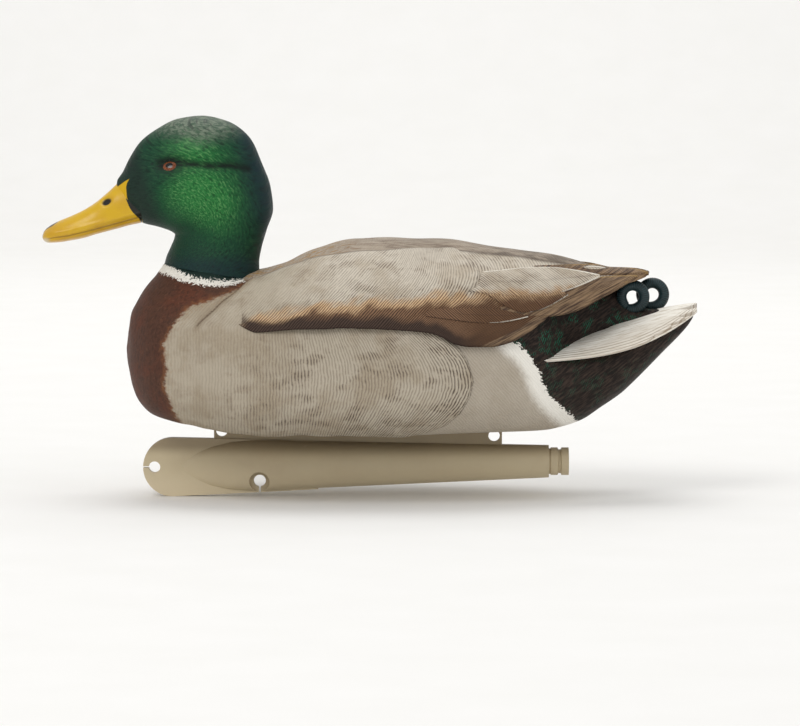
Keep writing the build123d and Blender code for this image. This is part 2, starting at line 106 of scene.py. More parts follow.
TORSO_SQUARENESS, BELLY_SQUARENESS = 2.35, 3.1
# How much of the rise to the swivel's seat is left at a distance from the neck's axis.
SEAT_RISE = [(0, 1), (SEAT_R, 1), (31.5, 0.82), (35.7, 0.47), (42, 0.22), (48.5, 0.07), (56, 0), (400, 0)]

# Wing mantle: x, highest z, foot of the arc, half width.
MANTLE = [
    (-97, 126, 84, 58),
    (-92, 131.4, 84, 66.4),
    (-86, 135.2, 84, 72.4),
    (-78, 137.8, 83.5, 77.2),
    (-67.7, 139.8, 83, 80.2),
    (-55, 143.6, 83.5, 82.4),
    (-43.2, 148.5, 84, 84),
    (-33, 152, 84.5, 84.8),
    (-22, 155.4, 85, 85.3),
    (-8, 157.9, 85.5, 85.6),
    (5, 158.7, 85.8, 85.5),
    (18, 158.6, 86, 85.2),
    (48.7, 157.5, 86, 81.8),
    (79.3, 152.2, 85.5, 73.5),
    (99, 150.4, 86.5, 63.5),
    (111, 148.6, 89, 56),
    (126, 145, 95, 45.8),
    (140.6, 140.8, 104, 36.5),
    (147, 139.2, 108, 32),
    (158, 138.8, 116.5, 23),
    (167, 138.6, 126, 13.5),
    (171, 138.6, 134, 8),
]
# Lower edge of the folded wing, in side view.
WING_EDGE = [
    (-92, 110), (-84.2, 106.9), (-76.9, 102.4), (-70.1, 99.8), (-55.4, 100.8), (-43.2, 101.6), (-30, 101.6),
    (-18.7, 102.2), (0, 101.8), (18.1, 100.9), (36.4, 99.2), (45.6, 95.9), (51.8, 92.6), (61, 91),
    (73.2, 91), (85.5, 93.6), (97.7, 100.2), (103.8, 105.1), (113, 112.4), (125.3, 118.5), (140.6, 123.4),
    (155.9, 129.6), (168.2, 134.3), (171, 137),
]
# Where the pale scapulars end against the brown back, and against the brown strip along the wing's edge.
BACK_BORDER = [
    (-100, 133), (-73.8, 133), (-60.5, 138.2), (-49.5, 142.4), (-38.6, 145.9), (-22.2, 148.6), (-0.3, 150.8),
    (18, 151.6), (30.3, 151.9), (48.7, 151), (67, 148.4), (91.6, 146.1), (116.1, 142.6), (140.6, 139.5),
    (175, 137.5),
]
BROWN_BORDER = [
    (-100, 104), (-82.4, 105.1), (-67.9, 111.4), (-50.5, 112.4), (-35.4, 116.2), (-15, 117.3), (0.3, 119.6),
    (25.4, 120.4), (42.6, 122.8), (65.2, 123.2), (85.5, 124.5), (110, 124.5), (125, 126), (141, 131),
    (175, 139),
]

# Paint and relief borders of the torso, in side view.
COLLAR_TOP = [
    (-140, 150), (-124.8, 142.2), (-115.8, 137), (-107.4, 133.3), (-96.8, 131.6), (-87.3, 131.8),
    (-75.7, 133.3), (-60, 138),
]
COLLAR_LOW = [
    (-142, 146), (-128.4, 136.9), (-115.8, 131.8), (-107.5, 129.4), (-96.8, 128), (-87.3, 128.8),
    (-78.9, 130.9), (-60, 136.5),
]
BREAST_BORDER = [
    (-70, 134), (-79.9, 127.7), (-94, 121.5), (-110.6, 116), (-117.9, 109.3), (-122.8, 102),
    (-127.1, 92.8), (-126, 84), (-125.3, 76.3), (-127.1, 68.3), (-121.6, 53), (-113.5, 42), (-112, 20),
]
SHOULDER_GROOVE = [(-70, 136), (-73.8, 132.6), (-82, 125), (-92.2, 117), (-100, 109.5), (-109.5, 101)]
FLANK_REAR = [
    (36, 112), (42.6, 98.5), (53.6, 91), (59.7, 82.4), (62.8, 71.4), (61, 62.2), (54.8, 51.8), (45.6, 44.4),
    (33.4, 39.8), (20, 36.8), (-10, 34),
]
RUMP_BORDER = [
    (80, 104), (88.5, 94.6), (94.6, 89.7), (99.5, 83.6), (103.8, 76.3), (105.7, 69.5), (110, 62.2),
    (116.1, 56), (123.4, 49.9), (132, 40), (136, 20),
]

PAINT_BORDERS = {
    "breast": BREAST_BORDER, "rump": RUMP_BORDER, "collar_low": COLLAR_LOW, "collar_top": COLLAR_TOP,
}

# Tail fan: x, ridge z, edge z, half width.
FAN = [
    (98, 93, 86.6, 57),
    (106.9, 95.6, 87.2, 54),
    (125, 99.4, 88.6, 51),
    (140.6, 103.4, 90.6, 49),
    (159, 108.8, 95, 46),
    (177.3, 113.4, 102.4, 38),
    (192, 116, 110, 23),
    (199.5, 116.9, 114.4, 7),
]
FAN_THICKNESS = 1.4
# Where the rump's dark hair ends over the fan, in side view.
TAIL_COVER = [
    (104.4, 70), (105, 88.8), (113, 91.9), (125.3, 97), (143.7, 105.6), (158, 112),
    (172, 116.2), (190, 122.4), (230, 135.4),
]
TAIL_FEATHERS_A_SIDE = 6

# Head rings, from the neck's foot round the throat to the face: inner point, outer point, half width, and
# the share of the way out at which the ring is widest.
HEAD_RINGS = [
    ((-125.9, 142.9), (-67.7, 133.1), 29.5, 0.50),
    ((-124.5, 147.6), (-67.9, 137.4), 28.4, 0.50),
    ((-122, 153.2), (-68, 143.8), 26.8, 0.50),
    ((-119.9, 158.2), (-66.5, 152.5), 25.4, 0.51),
    ((-119.4, 160.6), (-63.3, 163.5), 25, 0.52),
    ((-121.4, 162.4), (-59.4, 176.5), 25.8, 0.52),
    ((-125.2, 164), (-61, 190), 26.8, 0.51),
    ((-129, 165.2), (-66.2, 204.2), 27.2, 0.50),
    ((-132.6, 166.1), (-73.4, 219.6), 26.8, 0.50),
    ((-136, 166.8), (-87, 229.8), 25.9, 0.48),
    ((-138.6, 167.6), (-102.5, 233.2), 24.4, 0.46),
    ((-140.8, 168.8), (-117, 231.4), 22.4, 0.44),
    ((-143, 170.6), (-130, 225.2), 19.6, 0.42),
    ((-145.6, 173.2), (-140.2, 217.4), 16.6, 0.40),
    ((-148.2, 176), (-146.8, 207.6), 13.8, 0.40),
    ((-150.4, 179), (-151.2, 198.8), 10.6, 0.42),
    ((-152.6, 182.4), (-154.6, 193.4), 6.6, 0.46),
    ((-154.8, 187.4), (-155.2, 188.6), 0, 0.50),
]
# Centre of the eye's hollow, place of the eyeball, and its half sizes, bulge and sink.
EYE_AT = (-122.9, 202.4)
EYE_SEAT = (-122.4, 201.2)
EYE_ACROSS, EYE_TALL, EYE_BULGE, EYE_SUNK = 4.5, 3.5, 1.5, 0.25
BROW_FURROW = [(-128, 203.2), (-118.5, 204.2), (-111, 202.8), (-96, 201.4), (-84, 202), (-74, 200)]

# Bill rings: x, lowest z, highest z, half width.
BILL = [
    (-200.4, 158.6, 160, 0),
    (-199.2, 156.6, 162.8, 6.4),
    (-196.5, 155.6, 165.4, 10.2),
    (-190.2, 155.9, 168.9, 12.3),
    (-182.9, 157, 171.9, 12.1),
    (-175.5, 158.4, 175.4, 11.4),
    (-168.2, 160.6, 179.9, 11.1),
    (-160.8, 162.6, 186, 11.5),
    (-153.5, 164.5, 192.6, 12.4),
    (-147.5, 166.2, 196.8, 13.2),
    (-141, 167.6, 196, 13.6),
    (-138, 168.4, 194, 12.8),
]
# Rear edge of the bill: height and place along the bird.
BILL_REAR = [
    (160, -138.4), (168, -139.6), (171.2, -142), (175.5, -145.8), (182.9, -148.7), (189, -149.2),
    (194.1, -147.1), (199, -145.2),
]
# The face's edge round the bill's root, with the corner that rises beside the forehead.
BEAK_BORDER = [
    (-165, 184), (-154.7, 189.4), (-150, 192.6), (-147.1, 194.1), (-148.6, 191.5), (-149.2, 189),
    (-148.7, 182.9), (-146.6, 176.8), (-143.6, 172.3), (-139.5, 169.6), (-137, 160),
]
# The line between the upper and the lower bill.
GAPE_LINE = [(-138, 169.6), (-141, 170.4), (-155, 166.6), (-170, 162.6), (-185, 159), (-197, 157.6)]
NOSTRIL_AT, NOSTRIL_TURN = (-161.2, 180.2), math.radians(28)

# Curled tail feathers: centre of the loop, side of the ridge, loop and section radii.
CURLS = {"tail_curl_left": (160, 122.9, -6), "tail_curl_right": (172.8, 123.6, 6)}
CURL_R, CURL_SECTION = 7.1, 3.3
CURL_START, CURL_TURN = math.radians(-125), math.radians(372)


def painted(code, opacity=1.0):
    """A linear colour from a painter's chart code."""
    shares = [int(code[k:k + 2], 16) / 255 for k in (0, 2, 4)]
    return [s / 12.92 if s <= 0.04045 else ((s + 0.055) / 1.055) ** 2.4 for s in shares] + [opacity]


def colour(name, description, code):
    return FloatVectorProperty(
        name=name, description=description, default=painted(code)[:3], size=3, min=0, max=1, subtype="COLOR"
    )


def length(name, description, default):
    return FloatProperty(
        name=name, description=description, default=default, min=0, unit="LENGTH", subtype="DISTANCE"
    )


def power(name, description, default):
    return FloatProperty(name=name, description=description, default=default, min=0, unit="POWER")


def count(name, description, default, least):
    return IntProperty(name=name, description=description, default=default, min=least)


# ---- Curves and borders ----
def smooth(points):
    """A smooth curve through (place, value) points that doesn't overshoot them."""
    places, values = np.array(points, float).T
    steps = np.diff(places)
    rises = np.diff(values) / steps
    slopes = np.concatenate([rises[:1], np.zeros(len(rises) - 1), rises[-1:]])
    same_way = rises[:-1] * rises[1:] > 0
    total = np.where(same_way, rises[:-1] + rises[1:], 1)
    slopes[1:-1] = np.where(same_way, 2 * rises[:-1] * rises[1:] / total, 0)

    def curve(at):
        at = np.clip(at, places[0], places[-1])
        k = np.clip(np.searchsorted(places, at) - 1, 0, len(steps) - 1)
        t = (at - places[k]) / steps[k]
        start, leave = (1 + 2 * t) * (1 - t) ** 2, t * (1 - t) ** 2
        end, arrive = t * t * (3 - 2 * t), t * t * (t - 1)
        return (start * values[k] + leave * steps[k] * slopes[k]
                + end * values[k + 1] + arrive * steps[k] * slopes[k + 1])

    return curve


def columns(table):
    """A smooth curve for each column of a table after the first, along the first."""
    rows = np.array(table, float)
    return [smooth(list(zip(rows[:, 0], rows[:, k]))) for k in range(1, rows.shape[1])]


def swelling(table, column):
    """A smooth curve of a half width that ends round where it reaches zero."""
    rows = np.array(table, float)
    squared = smooth(list(zip(rows[:, 0], rows[:, column] ** 2)))
    return lambda at: np.sqrt(np.maximum(squared(at), 0))


def ease(value, low, high):
    """0 below low, 1 above high, and smooth between them."""
    t = np.clip((value - low) / (high - low), 0, 1)
    return t * t * (3 - 2 * t)


def hump(distance, width):
    """1 at no distance, fading to 0 on both sides over about twice the width."""
    return np.exp(-(distance / width) ** 2)


def along_table(table, share):
    """Place along X at a share of the way from a table's first row to its last."""
    return table[0][0] + (table[-1][0] - table[0][0]) * share


def side_view(points):
    """Side-view coordinates of points in millimetres, the same for both sides of the bird."""
    across = np.abs(points[:, 1])
    along = points[:, 0] + (points[:, 0] - SIDE_MIDDLE) * across / SIDE_DEPTH
    return along, points[:, 2] - SIDE_LEAN * across


def from_border(border, along, height):
    """Signed distance from a border in side view: positive to the left of its direction."""
    nearest, signed = np.full(along.shape, 1e9), np.full(along.shape, 1e9)
    for (ax, az), (bx, bz) in zip(border, border[1:]):
        dx, dz = bx - ax, bz - az
        share = np.clip(((along - ax) * dx + (height - az) * dz) / (dx * dx + dz * dz), 0, 1)
        ex, ez = along - ax - share * dx, height - az - share * dz
        gap = np.hypot(ex, ez)
        side = np.where(dx * ez - dz * ex < 0, -1, 1)
        signed = np.where(gap < nearest - 1e-6, gap * side, signed)
        nearest = np.minimum(nearest, gap)
    return signed


def patch(along, height, centre, radii, turn=0.0):
    """1 at the centre of an oval patch in side view, fading to 0 around it."""
    dx, dz = along - centre[0], height - centre[1]
    ax = (dx * math.cos(turn) + dz * math.sin(turn)) / radii[0]
    az = (dz * math.cos(turn) - dx * math.sin(turn)) / radii[1]
    return np.exp(-(ax * ax + az * az))


# ---- Meshes ----
def ring_form(name, stations, turns):
    """A closed form of rings of radius 1 about X, from x = 0 to x = 1, with a pole at each end."""
    form = bmesh.new()
    line = [form.verts.new((k / stations, 0, 0 if k in (0, stations) else 1)) for k in range(stations + 1)]
    edges = [form.edges.new(pair) for pair in zip(line, line[1:])]
    bmesh.ops.spin(form, geom=line + edges, cent=(0, 0, 0), axis=(1, 0, 0), angle=2 * math.pi,
                   steps=turns, use_merge=True)
    bmesh.ops.remove_doubles(form, verts=form.verts, dist=1e-7)
    return to_object(form, name)


def sheet_form(name, lengthwise, crosswise):
    """A flat sheet from (0, -1) to (1, 1), to be shaped."""
    form = bmesh.new()
    bmesh.ops.create_grid(form, x_segments=lengthwise, y_segments=crosswise, size=1)
    bmesh.ops.scale(form, vec=(0.5, 1, 1), verts=form.verts)
    bmesh.ops.translate(form, vec=(0.5, 0, 0), verts=form.verts)
    return to_object(form, name)


def to_object(form, name):
    """A smooth-shaded object of the scene from a bmesh form."""
    mesh = bpy.data.meshes.new(name)
    form.to_mesh(mesh)
    form.free()
    mesh.polygons.foreach_set("use_smooth", [True] * len(mesh.polygons))
    piece = bpy.data.objects.new(name, mesh)
    bpy.context.scene.collection.objects.link(piece)
    return piece


def read(piece, what="co"):
    """Three values for each vertex, such as its place or its normal."""
    values = np.zeros(len(piece.data.vertices) * 3)
    piece.data.vertices.foreach_get(what, values)
    return values.reshape(-1, 3)


def rings_of(piece):
    """The share of the length and the angle about X of each vertex of a ring form."""
    start = read(piece)
    return start[:, 0], np.arctan2(start[:, 2], start[:, 1])


def place(piece, points):
    """Puts the piece's vertices at points in millimetres, heights from the keel's lowest edge."""
    row = points * MM + np.array([0, 0, FOOT])
    piece.data.vertices.foreach_set("co", row.astype(np.float32).ravel())
    piece.data.update()


def points_of(piece):
    """The piece's vertices in millimetres, heights from the keel's lowest edge."""
    return (read(piece) - np.array([0, 0, FOOT])) / MM


def rework(piece, change):
    """Edits the piece's mesh with a function of its bmesh form."""
    form = bmesh.new()
    form.from_mesh(piece.data)
    change(form)
    form.to_mesh(piece.data)
    form.free()
    piece.data.update()


def outward(piece):
    """Turns the piece's faces outwards."""
    rework(piece, lambda form: bmesh.ops.recalc_face_normals(form, faces=form.faces))


def swell(piece, amount):
    """Moves each vertex along its normal by an amount in millimetres."""
    place(piece, points_of(piece) + read(piece, "normal") * amount[:, None])


def mark(piece, name, values):
    """Keeps a value for each vertex for the paint to read."""
    layer = piece.data.attributes.new(name, "FLOAT", "POINT")
    layer.data.foreach_set("value", np.asarray(values, np.float32))


def mark_flow(piece, first, second):
    """Keeps the coordinates of the feather flow for each vertex, in metres."""
    layer = piece.data.attributes.new("flow", "FLOAT_VECTOR", "POINT")
    flow = np.stack([first, second, np.zeros_like(first)], 1) * MM
    layer.data.foreach_set("vector", flow.astype(np.float32).ravel())


def settle(piece, body, finish, slot, *nodes):
    """Gives the piece its finish, its body and the nodes that it stands for."""
    piece.data.materials.clear()
    piece.data.materials.append(finish)
    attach(piece, body)
    if nodes:
        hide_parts(*nodes)
    return piece


def squared_ring(angle, squareness):
    """Places round a ring of radius 1, from a circle at a squareness of 2 towards a square above it."""
    c, s = np.cos(angle), np.sin(angle)
    power = 2 / squareness
    return np.sign(c) * np.abs(c) ** power, np.sign(s) * np.abs(s) ** power


# ---- Finishes ----
# Spacing of the fine dark lines in millimetres, and the most that they may darken.
FLANK_LINES, BELLY_LINES, WING_LINES, MOST_CONTRAST = 1.95, 1.5, 1.8, 0.85
# The rump's barbs shine above a line that rises by this slope, in metres.
RUMP_SLOPE, RUMP_DIM, RUMP_BRIGHT = 0.45, -0.036, -0.02
# Painted shade darkens the keel just under its top, where the belly shades it, and painted light from the
# floor pales its lower edge; heights in metres.
KEEL_PAINTED_SHADE, KEEL_PAINTED_LIGHT = (-0.041, -0.033), (-0.044, -0.06)


class Finish:
    """A material under construction, with one Principled shader."""

    def __init__(self, name, roughness=0.5, specular=0.5):
        self.material = bpy.data.materials.new(name)
        self.material.use_nodes = True
        self.tree = self.material.node_tree
        self.shader = self.tree.nodes["Principled BSDF"]
        self.shader.inputs["Roughness"].default_value = roughness
        self.shader.inputs["Specular IOR Level"].default_value = specular
        self.body = None

    def add(self, kind, output, inputs, **settings):
        node = self.tree.nodes.new(kind)
        for key, value in settings.items():
            setattr(node, key, value)
        for key, value in inputs.items():
            if isinstance(value, bpy.types.NodeSocket):
                self.tree.links.new(value, node.inputs[key])
            else:
                node.inputs[key].default_value = value
        return node.outputs[output]

    def set(self, name, value):
        if isinstance(value, bpy.types.NodeSocket):
            self.tree.links.new(value, self.shader.inputs[name])
        else:
            self.shader.inputs[name].default_value = value

    def marked(self, name):
        return self.add("ShaderNodeAttribute", "Fac", {}, attribute_name=name)

    def flow(self):
        return self.add("ShaderNodeAttribute", "Vector", {}, attribute_name="flow")

    def spot(self):
        return self.add("ShaderNodeTexCoord", "Object", {})

    def turned(self, vector, rotation=(0, 0, 0), scale=(1, 1, 1)):
        """Coordinates about turned axes, squeezed along them by scale."""
        spread = [1 / s for s in scale]
        inputs = {"Vector": vector, "Rotation": rotation, "Scale": spread}
        return self.add("ShaderNodeMapping", "Vector", inputs, vector_type="TEXTURE")

    def noise(self, vector, size, detail=2.0, roughness=0.5, distortion=0.0):
        """Noise with features of about that size in millimetres."""
        return self.add("ShaderNodeTexNoise", "Fac", {
            "Vector": vector, "Scale": 1 / (size * MM), "Detail": detail, "Roughness": roughness,
            "Distortion": distortion,
        })

    def bands(self, vector, spacing, bend=0.0, bend_size=1.0, detail=1.0):
        """Wavy lines across X that far apart, in millimetres."""
        return self.add("ShaderNodeTexWave", "Fac", {
            "Vector": vector, "Scale": 2 * math.pi / (20 * spacing * MM), "Distortion": bend,
            "Detail": detail, "Detail Scale": bend_size, "Detail Roughness": 0.5,
        }, wave_type="BANDS", bands_direction="X")

    def axis(self, vector, which):
        """One coordinate of a vector: 0 is X, 1 is Y and 2 is Z."""
        return self.add("ShaderNodeSeparateXYZ", which, {0: vector})

    def maths(self, operation, first, second=0.0):
        return self.add("ShaderNodeMath", 0, {0: first, 1: second}, operation=operation)

    def plus(self, first, second):
        return self.maths("ADD", first, second)

    def times(self, first, second):
        return self.maths("MULTIPLY", first, second)

    def rise(self, value, low, high, start=0.0, end=1.0):
        """start where the value is below low, end above high, and smooth between."""
        return self.add("ShaderNodeMapRange", 0, {0: value, 1: low, 2: high, 3: start, 4: end},
                        interpolation_type="SMOOTHSTEP")

    def blend(self, share, first, second, mode="MIX"):
        node = self.tree.nodes.new("ShaderNodeMix")
        node.data_type, node.blend_type = "RGBA", mode
        for socket, value in ((node.inputs[0], share), (node.inputs[6], first), (node.inputs[7], second)):
            if isinstance(value, bpy.types.NodeSocket):
                self.tree.links.new(value, socket)
            elif isinstance(value, str):
                socket.default_value = painted(value)
            elif socket.type == "RGBA":
                socket.default_value = (*value[:3], 1)
            else:
                socket.default_value = value
        return node.outputs[2]

    def ragged(self, name, amount, size, low=-0.25, high=0.25, stretch=(1, 1, 1), turn=(0, 0, 0)):
        """A mask, 1 on the positive side of a marked border, with its edge torn by noise."""
        torn = self.wander(self.turned(self.spot(), turn, stretch), size, 3, 0.6, amount)
        return self.rise(self.plus(self.marked(name), torn), low, high)

    def wander(self, vector, size, detail, roughness, amount):
        """Noise about zero that spreads over amount in all."""
        return self.times(self.plus(self.noise(vector, size, detail, roughness), -0.5), amount)

    def relief(self, height, strength, distance):
        """Bumps on the shader's normal, distance in millimetres."""
        inputs = {"Height": height, "Strength": strength, "Distance": distance * MM}
        self.set("Normal", self.add("ShaderNodeBump", "Normal", inputs))

    def coat(self, share, layer, strength=None):
        """Lays a colour over the body colour where share is 1."""
        if strength is not None:
            share = self.times(share, strength)
        self.body = self.blend(share, self.body, layer)

    def done(self):
        self.set("Base Color", self.body)
        return self.material


def pale_feathers(f, spot, paint, painted_front_shade):
    """The warm pale grey of the flanks and scapulars, with soft darker clouds and patches, multiplied darker
    by the given share, as painted shade that is strongest towards the bird's front.
    """
    cloud = f.noise(spot, 24, 4, 0.6)
    blots = f.noise(f.turned(spot, (0, 0, 0), (0.8, 1, 1.3)), 11, 3, 0.55)
    speck = f.noise(spot, 1.5, 4, 0.65)
    warm = f.blend(f.rise(cloud, 0.42, 0.66), paint.flank, "b9ac99")
    warm = f.blend(f.times(f.rise(blots, 0.48, 0.7), 0.35), warm, "a08f7c")
    warm = f.blend(f.times(f.rise(speck, 0.4, 0.75), 0.25), warm, "ddd4c6")
    return f.blend(painted_front_shade, warm, "dedbd5", "MULTIPLY"), blots


def vermiculated(f, flow, spacing, light, dark, contrast):
    """Pale feathers with fine wavy dark lines across the flow: the colour, and the height of the lines."""
    lines = f.bands(flow, spacing, 4.2, 0.8, 2.0)
    broken = f.rise(f.noise(flow, 3.2, 2, 0.5), 0.32, 0.5, 0.35, 1.0)
    return f.blend(f.times(f.times(f.rise(lines, 0.4, 0.85), broken), contrast), light, dark), lines


def barred_rump(f, spot):
    """Blackish hair-like feathers with clusters of fine teal barbs: the barbs, the colour and the hair."""
    hair = f.noise(f.turned(spot, (0, -0.62, 0), (0.14, 0.2, 1)), 0.9, 3, 0.6)
    rump = f.blend(f.rise(hair, 0.38, 0.7), "1a1411", "3d312a")
    barbs = f.rise(f.bands(f.turned(spot, (0, 0.42, 0)), 1.15, 5.0, 0.5, 2.0), 0.5, 0.85)
    barbs = f.times(barbs, f.rise(f.noise(spot, 2.4, 2, 0.6), 0.42, 0.56))
    clusters = f.rise(f.noise(f.turned(spot, (0, -0.5, 0), (0.6, 1, 1)), 10, 2, 0.5), 0.46, 0.6)
    above = f.plus(f.axis(spot, 2), f.times(f.axis(spot, 0), -RUMP_SLOPE))
    shining = f.rise(above, RUMP_DIM, RUMP_BRIGHT, 0.3, 1.0)
    return f.times(f.times(barbs, clusters), shining), rump, hair


def plumage_finish(paint):
    """The torso: green neck foot, white collar, chestnut breast, grey flanks, white and black rump, with
    painted shade in the shoulder groove and towards the flanks' front.
    """
    f = Finish("plumage", 0.6, 0.16)
    spot = f.spot()
    cloud = f.noise(spot, 24, 4, 0.6)
    fine = f.noise(spot, 1.5, 4, 0.65)
    rear = f.marked("flank_rear")

    # The pale grey is dimmed everywhere as its tone, and more towards the front as painted shade.
    warm, blots = pale_feathers(f, spot, paint, f.rise(rear, 90.0, 15.0, 1.0, 0.7))
    contrast = f.plus(f.rise(rear, 108.0, 50.0, 0.12, 0.34), f.rise(rear, 24.0, 3.0, 0.0, 0.38))
    patches = f.times(f.rise(blots, 0.5, 0.68), f.rise(rear, 100.0, 50.0, 0.03, 0.4))
    contrast = f.maths("MINIMUM", f.plus(contrast, patches), MOST_CONTRAST)
    flank, lines = vermiculated(f, f.flow(), FLANK_LINES, warm, "41352c", contrast)
    smoky = f.blend(f.rise(cloud, 0.4, 0.7), paint.belly, "afa494")
    belly, belly_lines = vermiculated(f, f.turned(spot, (0, -0.7, 0)), BELLY_LINES, smoky, "8b7e70", 0.28)
    on_flank = f.rise(rear, -0.4, 0.4)
    grey = f.blend(on_flank, belly, flank)
    rim = f.rise(f.maths("ABSOLUTE", rear), 0.8, 0.1)
    grey = f.blend(f.times(rim, f.rise(fine, 0.35, 0.55, 0.1, 0.6)), grey, "3f352e")
    # Painted shade along the shoulder groove, darkest nearest its middle.
    groove = f.plus(f.marked("groove"), f.times(f.plus(fine, -0.5), 1.6))
    grey = f.blend(f.times(f.rise(groove, 4.5, 1.5), 0.4), grey, "85745f")
    grey = f.blend(f.times(f.rise(groove, 1.4, 0.4), 0.75), grey, "5d4b3a")

    snow = f.ragged("rump", 5.0, 2.5, -13.0, -5.0, (1, 1, 0.6))
    grey = f.blend(snow, grey, paint.collar)
    barbs, rump, hair = barred_rump(f, spot)
    rump_mask = f.ragged("rump", 9.0, 1.5, -0.2, 0.25, (0.2, 1, 1.2), (0, 0.3, 0))

    chest = f.blend(f.rise(cloud, 0.42, 0.64), paint.chestnut, "5a3324")
    scales = f.noise(f.turned(spot, (0, 0.2, 0), (1, 1, 0.6)), 1.9, 3, 0.6)
    chest = f.blend(f.times(f.rise(scales, 0.46, 0.64), 0.5), chest, "34221a")
    chest = f.blend(f.times(f.rise(fine, 0.52, 0.72), 0.3), chest, "7c5c49")
    rust_edge = f.ragged("breast", 7.0, 4.0, -3.2, 0.8, (1, 1, 0.8))
    chest = f.blend(f.times(rust_edge, f.rise(scales, 0.38, 0.62, 0.1, 0.7)), chest, paint.rust)
    breast_mask = f.ragged("breast", 6.0, 3.0, -0.5, 1.8, (0.7, 1, 1.3))
    f.body = f.blend(breast_mask, chest, grey)
    tan = f.times(f.rise(f.marked("breast"), 9.0, 0.0), f.rise(fine, 0.42, 0.7))
    high_tan = f.rise(f.axis(spot, 2), 0.038, 0.056, 0.5, 1.0)
    f.coat(f.times(f.times(tan, breast_mask), high_tan), "94795a", 0.75)
    f.coat(rump_mask, f.blend(barbs, rump, paint.teal))

    collar_mask = f.ragged("collar_low", 9.0, 1.2, -0.15, 0.25, (1, 1, 0.2))
    white = f.blend(f.rise(fine, 0.3, 0.8), paint.collar, "d8d2c6")
    f.coat(collar_mask, white)
    green_mask = f.ragged("collar_top", 12.0, 1.2, -0.1, 0.25, (1, 1, 0.13))
    f.coat(green_mask, "1a2c27")

    f.set("Roughness", f.rise(fine, 0.2, 0.8, 0.5, 0.7))
    on_grey = f.times(breast_mask, f.rise(f.marked("rump"), 2.0, -2.0))
    relief = f.times(f.blend(on_flank, belly_lines, lines), f.plus(f.times(on_grey, 0.8), 0.1))
    f.relief(f.plus(relief, f.plus(f.times(fine, 0.5), f.times(hair, 0.6))), 0.6, 0.35)
    return f.done()


def wing_finish(paint):
    """The folded wings: pale vermiculated scapulars, a brown edge strip, a brown back and long feathers, with
    painted shadow along the back's border and painted shade on the mantle's underside.

    The long feathers use it too, with a shaft and a white rim that the mantle leaves at nothing.
    """
    f = Finish("wing_plumage", 0.6, 0.16)
    spot = f.spot()
    along, brown, edge = f.marked("along"), f.marked("brown"), f.marked("edge")
    fine = f.noise(spot, 1.5, 4, 0.65)
    # Painted shade: the scapulars' pale grey darkens towards their front.
    warm, blots = pale_feathers(f, spot, paint, f.rise(along, -10.0, -75.0))
    contrast = f.plus(f.rise(along, -70.0, -10.0, 0.12, 0.34), f.rise(brown, 14.0, 1.0, 0.0, 0.2))
    contrast = f.plus(contrast, f.times(f.rise(blots, 0.46, 0.66), f.rise(along, -70.0, 0.0, 0.05, 0.34)))
    contrast = f.maths("MINIMUM", contrast, MOST_CONTRAST)
    pale, lines = vermiculated(f, f.flow(), WING_LINES, warm, "4d4036", contrast)
    streak_lines = f.rise(lines, 0.35, 0.8)
    tawny = f.blend(streak_lines, "cdae87", "82634c")
    russet = f.blend(streak_lines, "83634a", "463429")
    deep = f.blend(streak_lines, "4a3a31", "2c201a")
    wander = f.wander(f.turned(spot, (0, -0.75, 0), (0.5, 1, 1)), 8, 3, 0.55, 15.0)
    depth = f.plus(brown, wander)
    frontal = f.rise(along, -86.0, -74.0)
    side = f.blend(f.times(f.rise(depth, 3.0, -3.0), frontal), pale, tawny)
    side = f.blend(f.times(f.rise(depth, -2.5, -8.0), frontal), side, russet)
    side = f.blend(f.times(f.rise(f.plus(edge, f.times(wander, 0.55)), 9.5, 4.0), frontal), side, deep)
    rufous = f.blend(streak_lines, "644832", "453123")
    rearward = f.times(f.rise(along, 50.0, 72.0), f.rise(f.plus(brown, f.times(wander, 0.4)), 2.0, -9.0))
    side = f.blend(f.times(rearward, 0.85), side, rufous)
    streaks = f.noise(f.turned(spot, (0, 0.05, 0), (0.2, 1, 1)), 2.2, 3, 0.6)
    back = f.blend(f.rise(streaks, 0.38, 0.68), "a89a89", "7d6e60")
    gold = f.times(f.rise(streaks, 0.5, 0.62), f.rise(along, 5.0, -35.0))
    back = f.blend(f.times(gold, 0.75), back, "a98245")
    shaded = f.rise(along, 58.0, 78.0)
    back = f.blend(f.times(shaded, f.rise(blots, 0.42, 0.6, 0.15, 0.65)), back, "4e4338")
    back_mask = f.ragged("back", 1.6, 3.0, -0.3, 0.3)
    f.body = f.blend(back_mask, side, back)
    # Painted shadow along the back's border, in the valley above the scapulars' lip.
    f.coat(f.rise(f.maths("ABSOLUTE", f.marked("back")), 1.6, 0.0), "55493e", 0.6)
    barbs = f.noise(f.turned(spot, (0, -0.46, 0), (0.05, 0.03, 1)), 0.8, 3, 0.6)
    quill = f.blend(f.rise(barbs, 0.38, 0.64), "8f765b", "4b3a30")
    f.coat(f.rise(f.marked("primary"), 0.2, 0.6), quill)
    f.coat(f.marked("shaft"), "3c2c24", 0.55)
    broken = f.rise(f.noise(spot, 3.0, 3, 0.6), 0.36, 0.5, 0.25, 1.0)
    f.coat(f.times(f.rise(f.marked("rim"), 0.05, 0.5), broken), "e9e3d6")
    f.coat(f.marked("gilt"), "a98a56", 0.6)
    # Painted shade on the mantle's underside, below the wing's lower edge.
    f.coat(f.marked("under"), "231a16", 0.85)
    f.set("Roughness", f.rise(fine, 0.2, 0.8, 0.5, 0.7))
    height = f.plus(lines, f.plus(f.times(fine, 0.4), f.times(f.times(barbs, f.marked("primary")), 1.5)))
    f.relief(f.plus(height, f.times(f.marked("shaft"), 1.5)), 0.65, 0.32)
    return f.done()


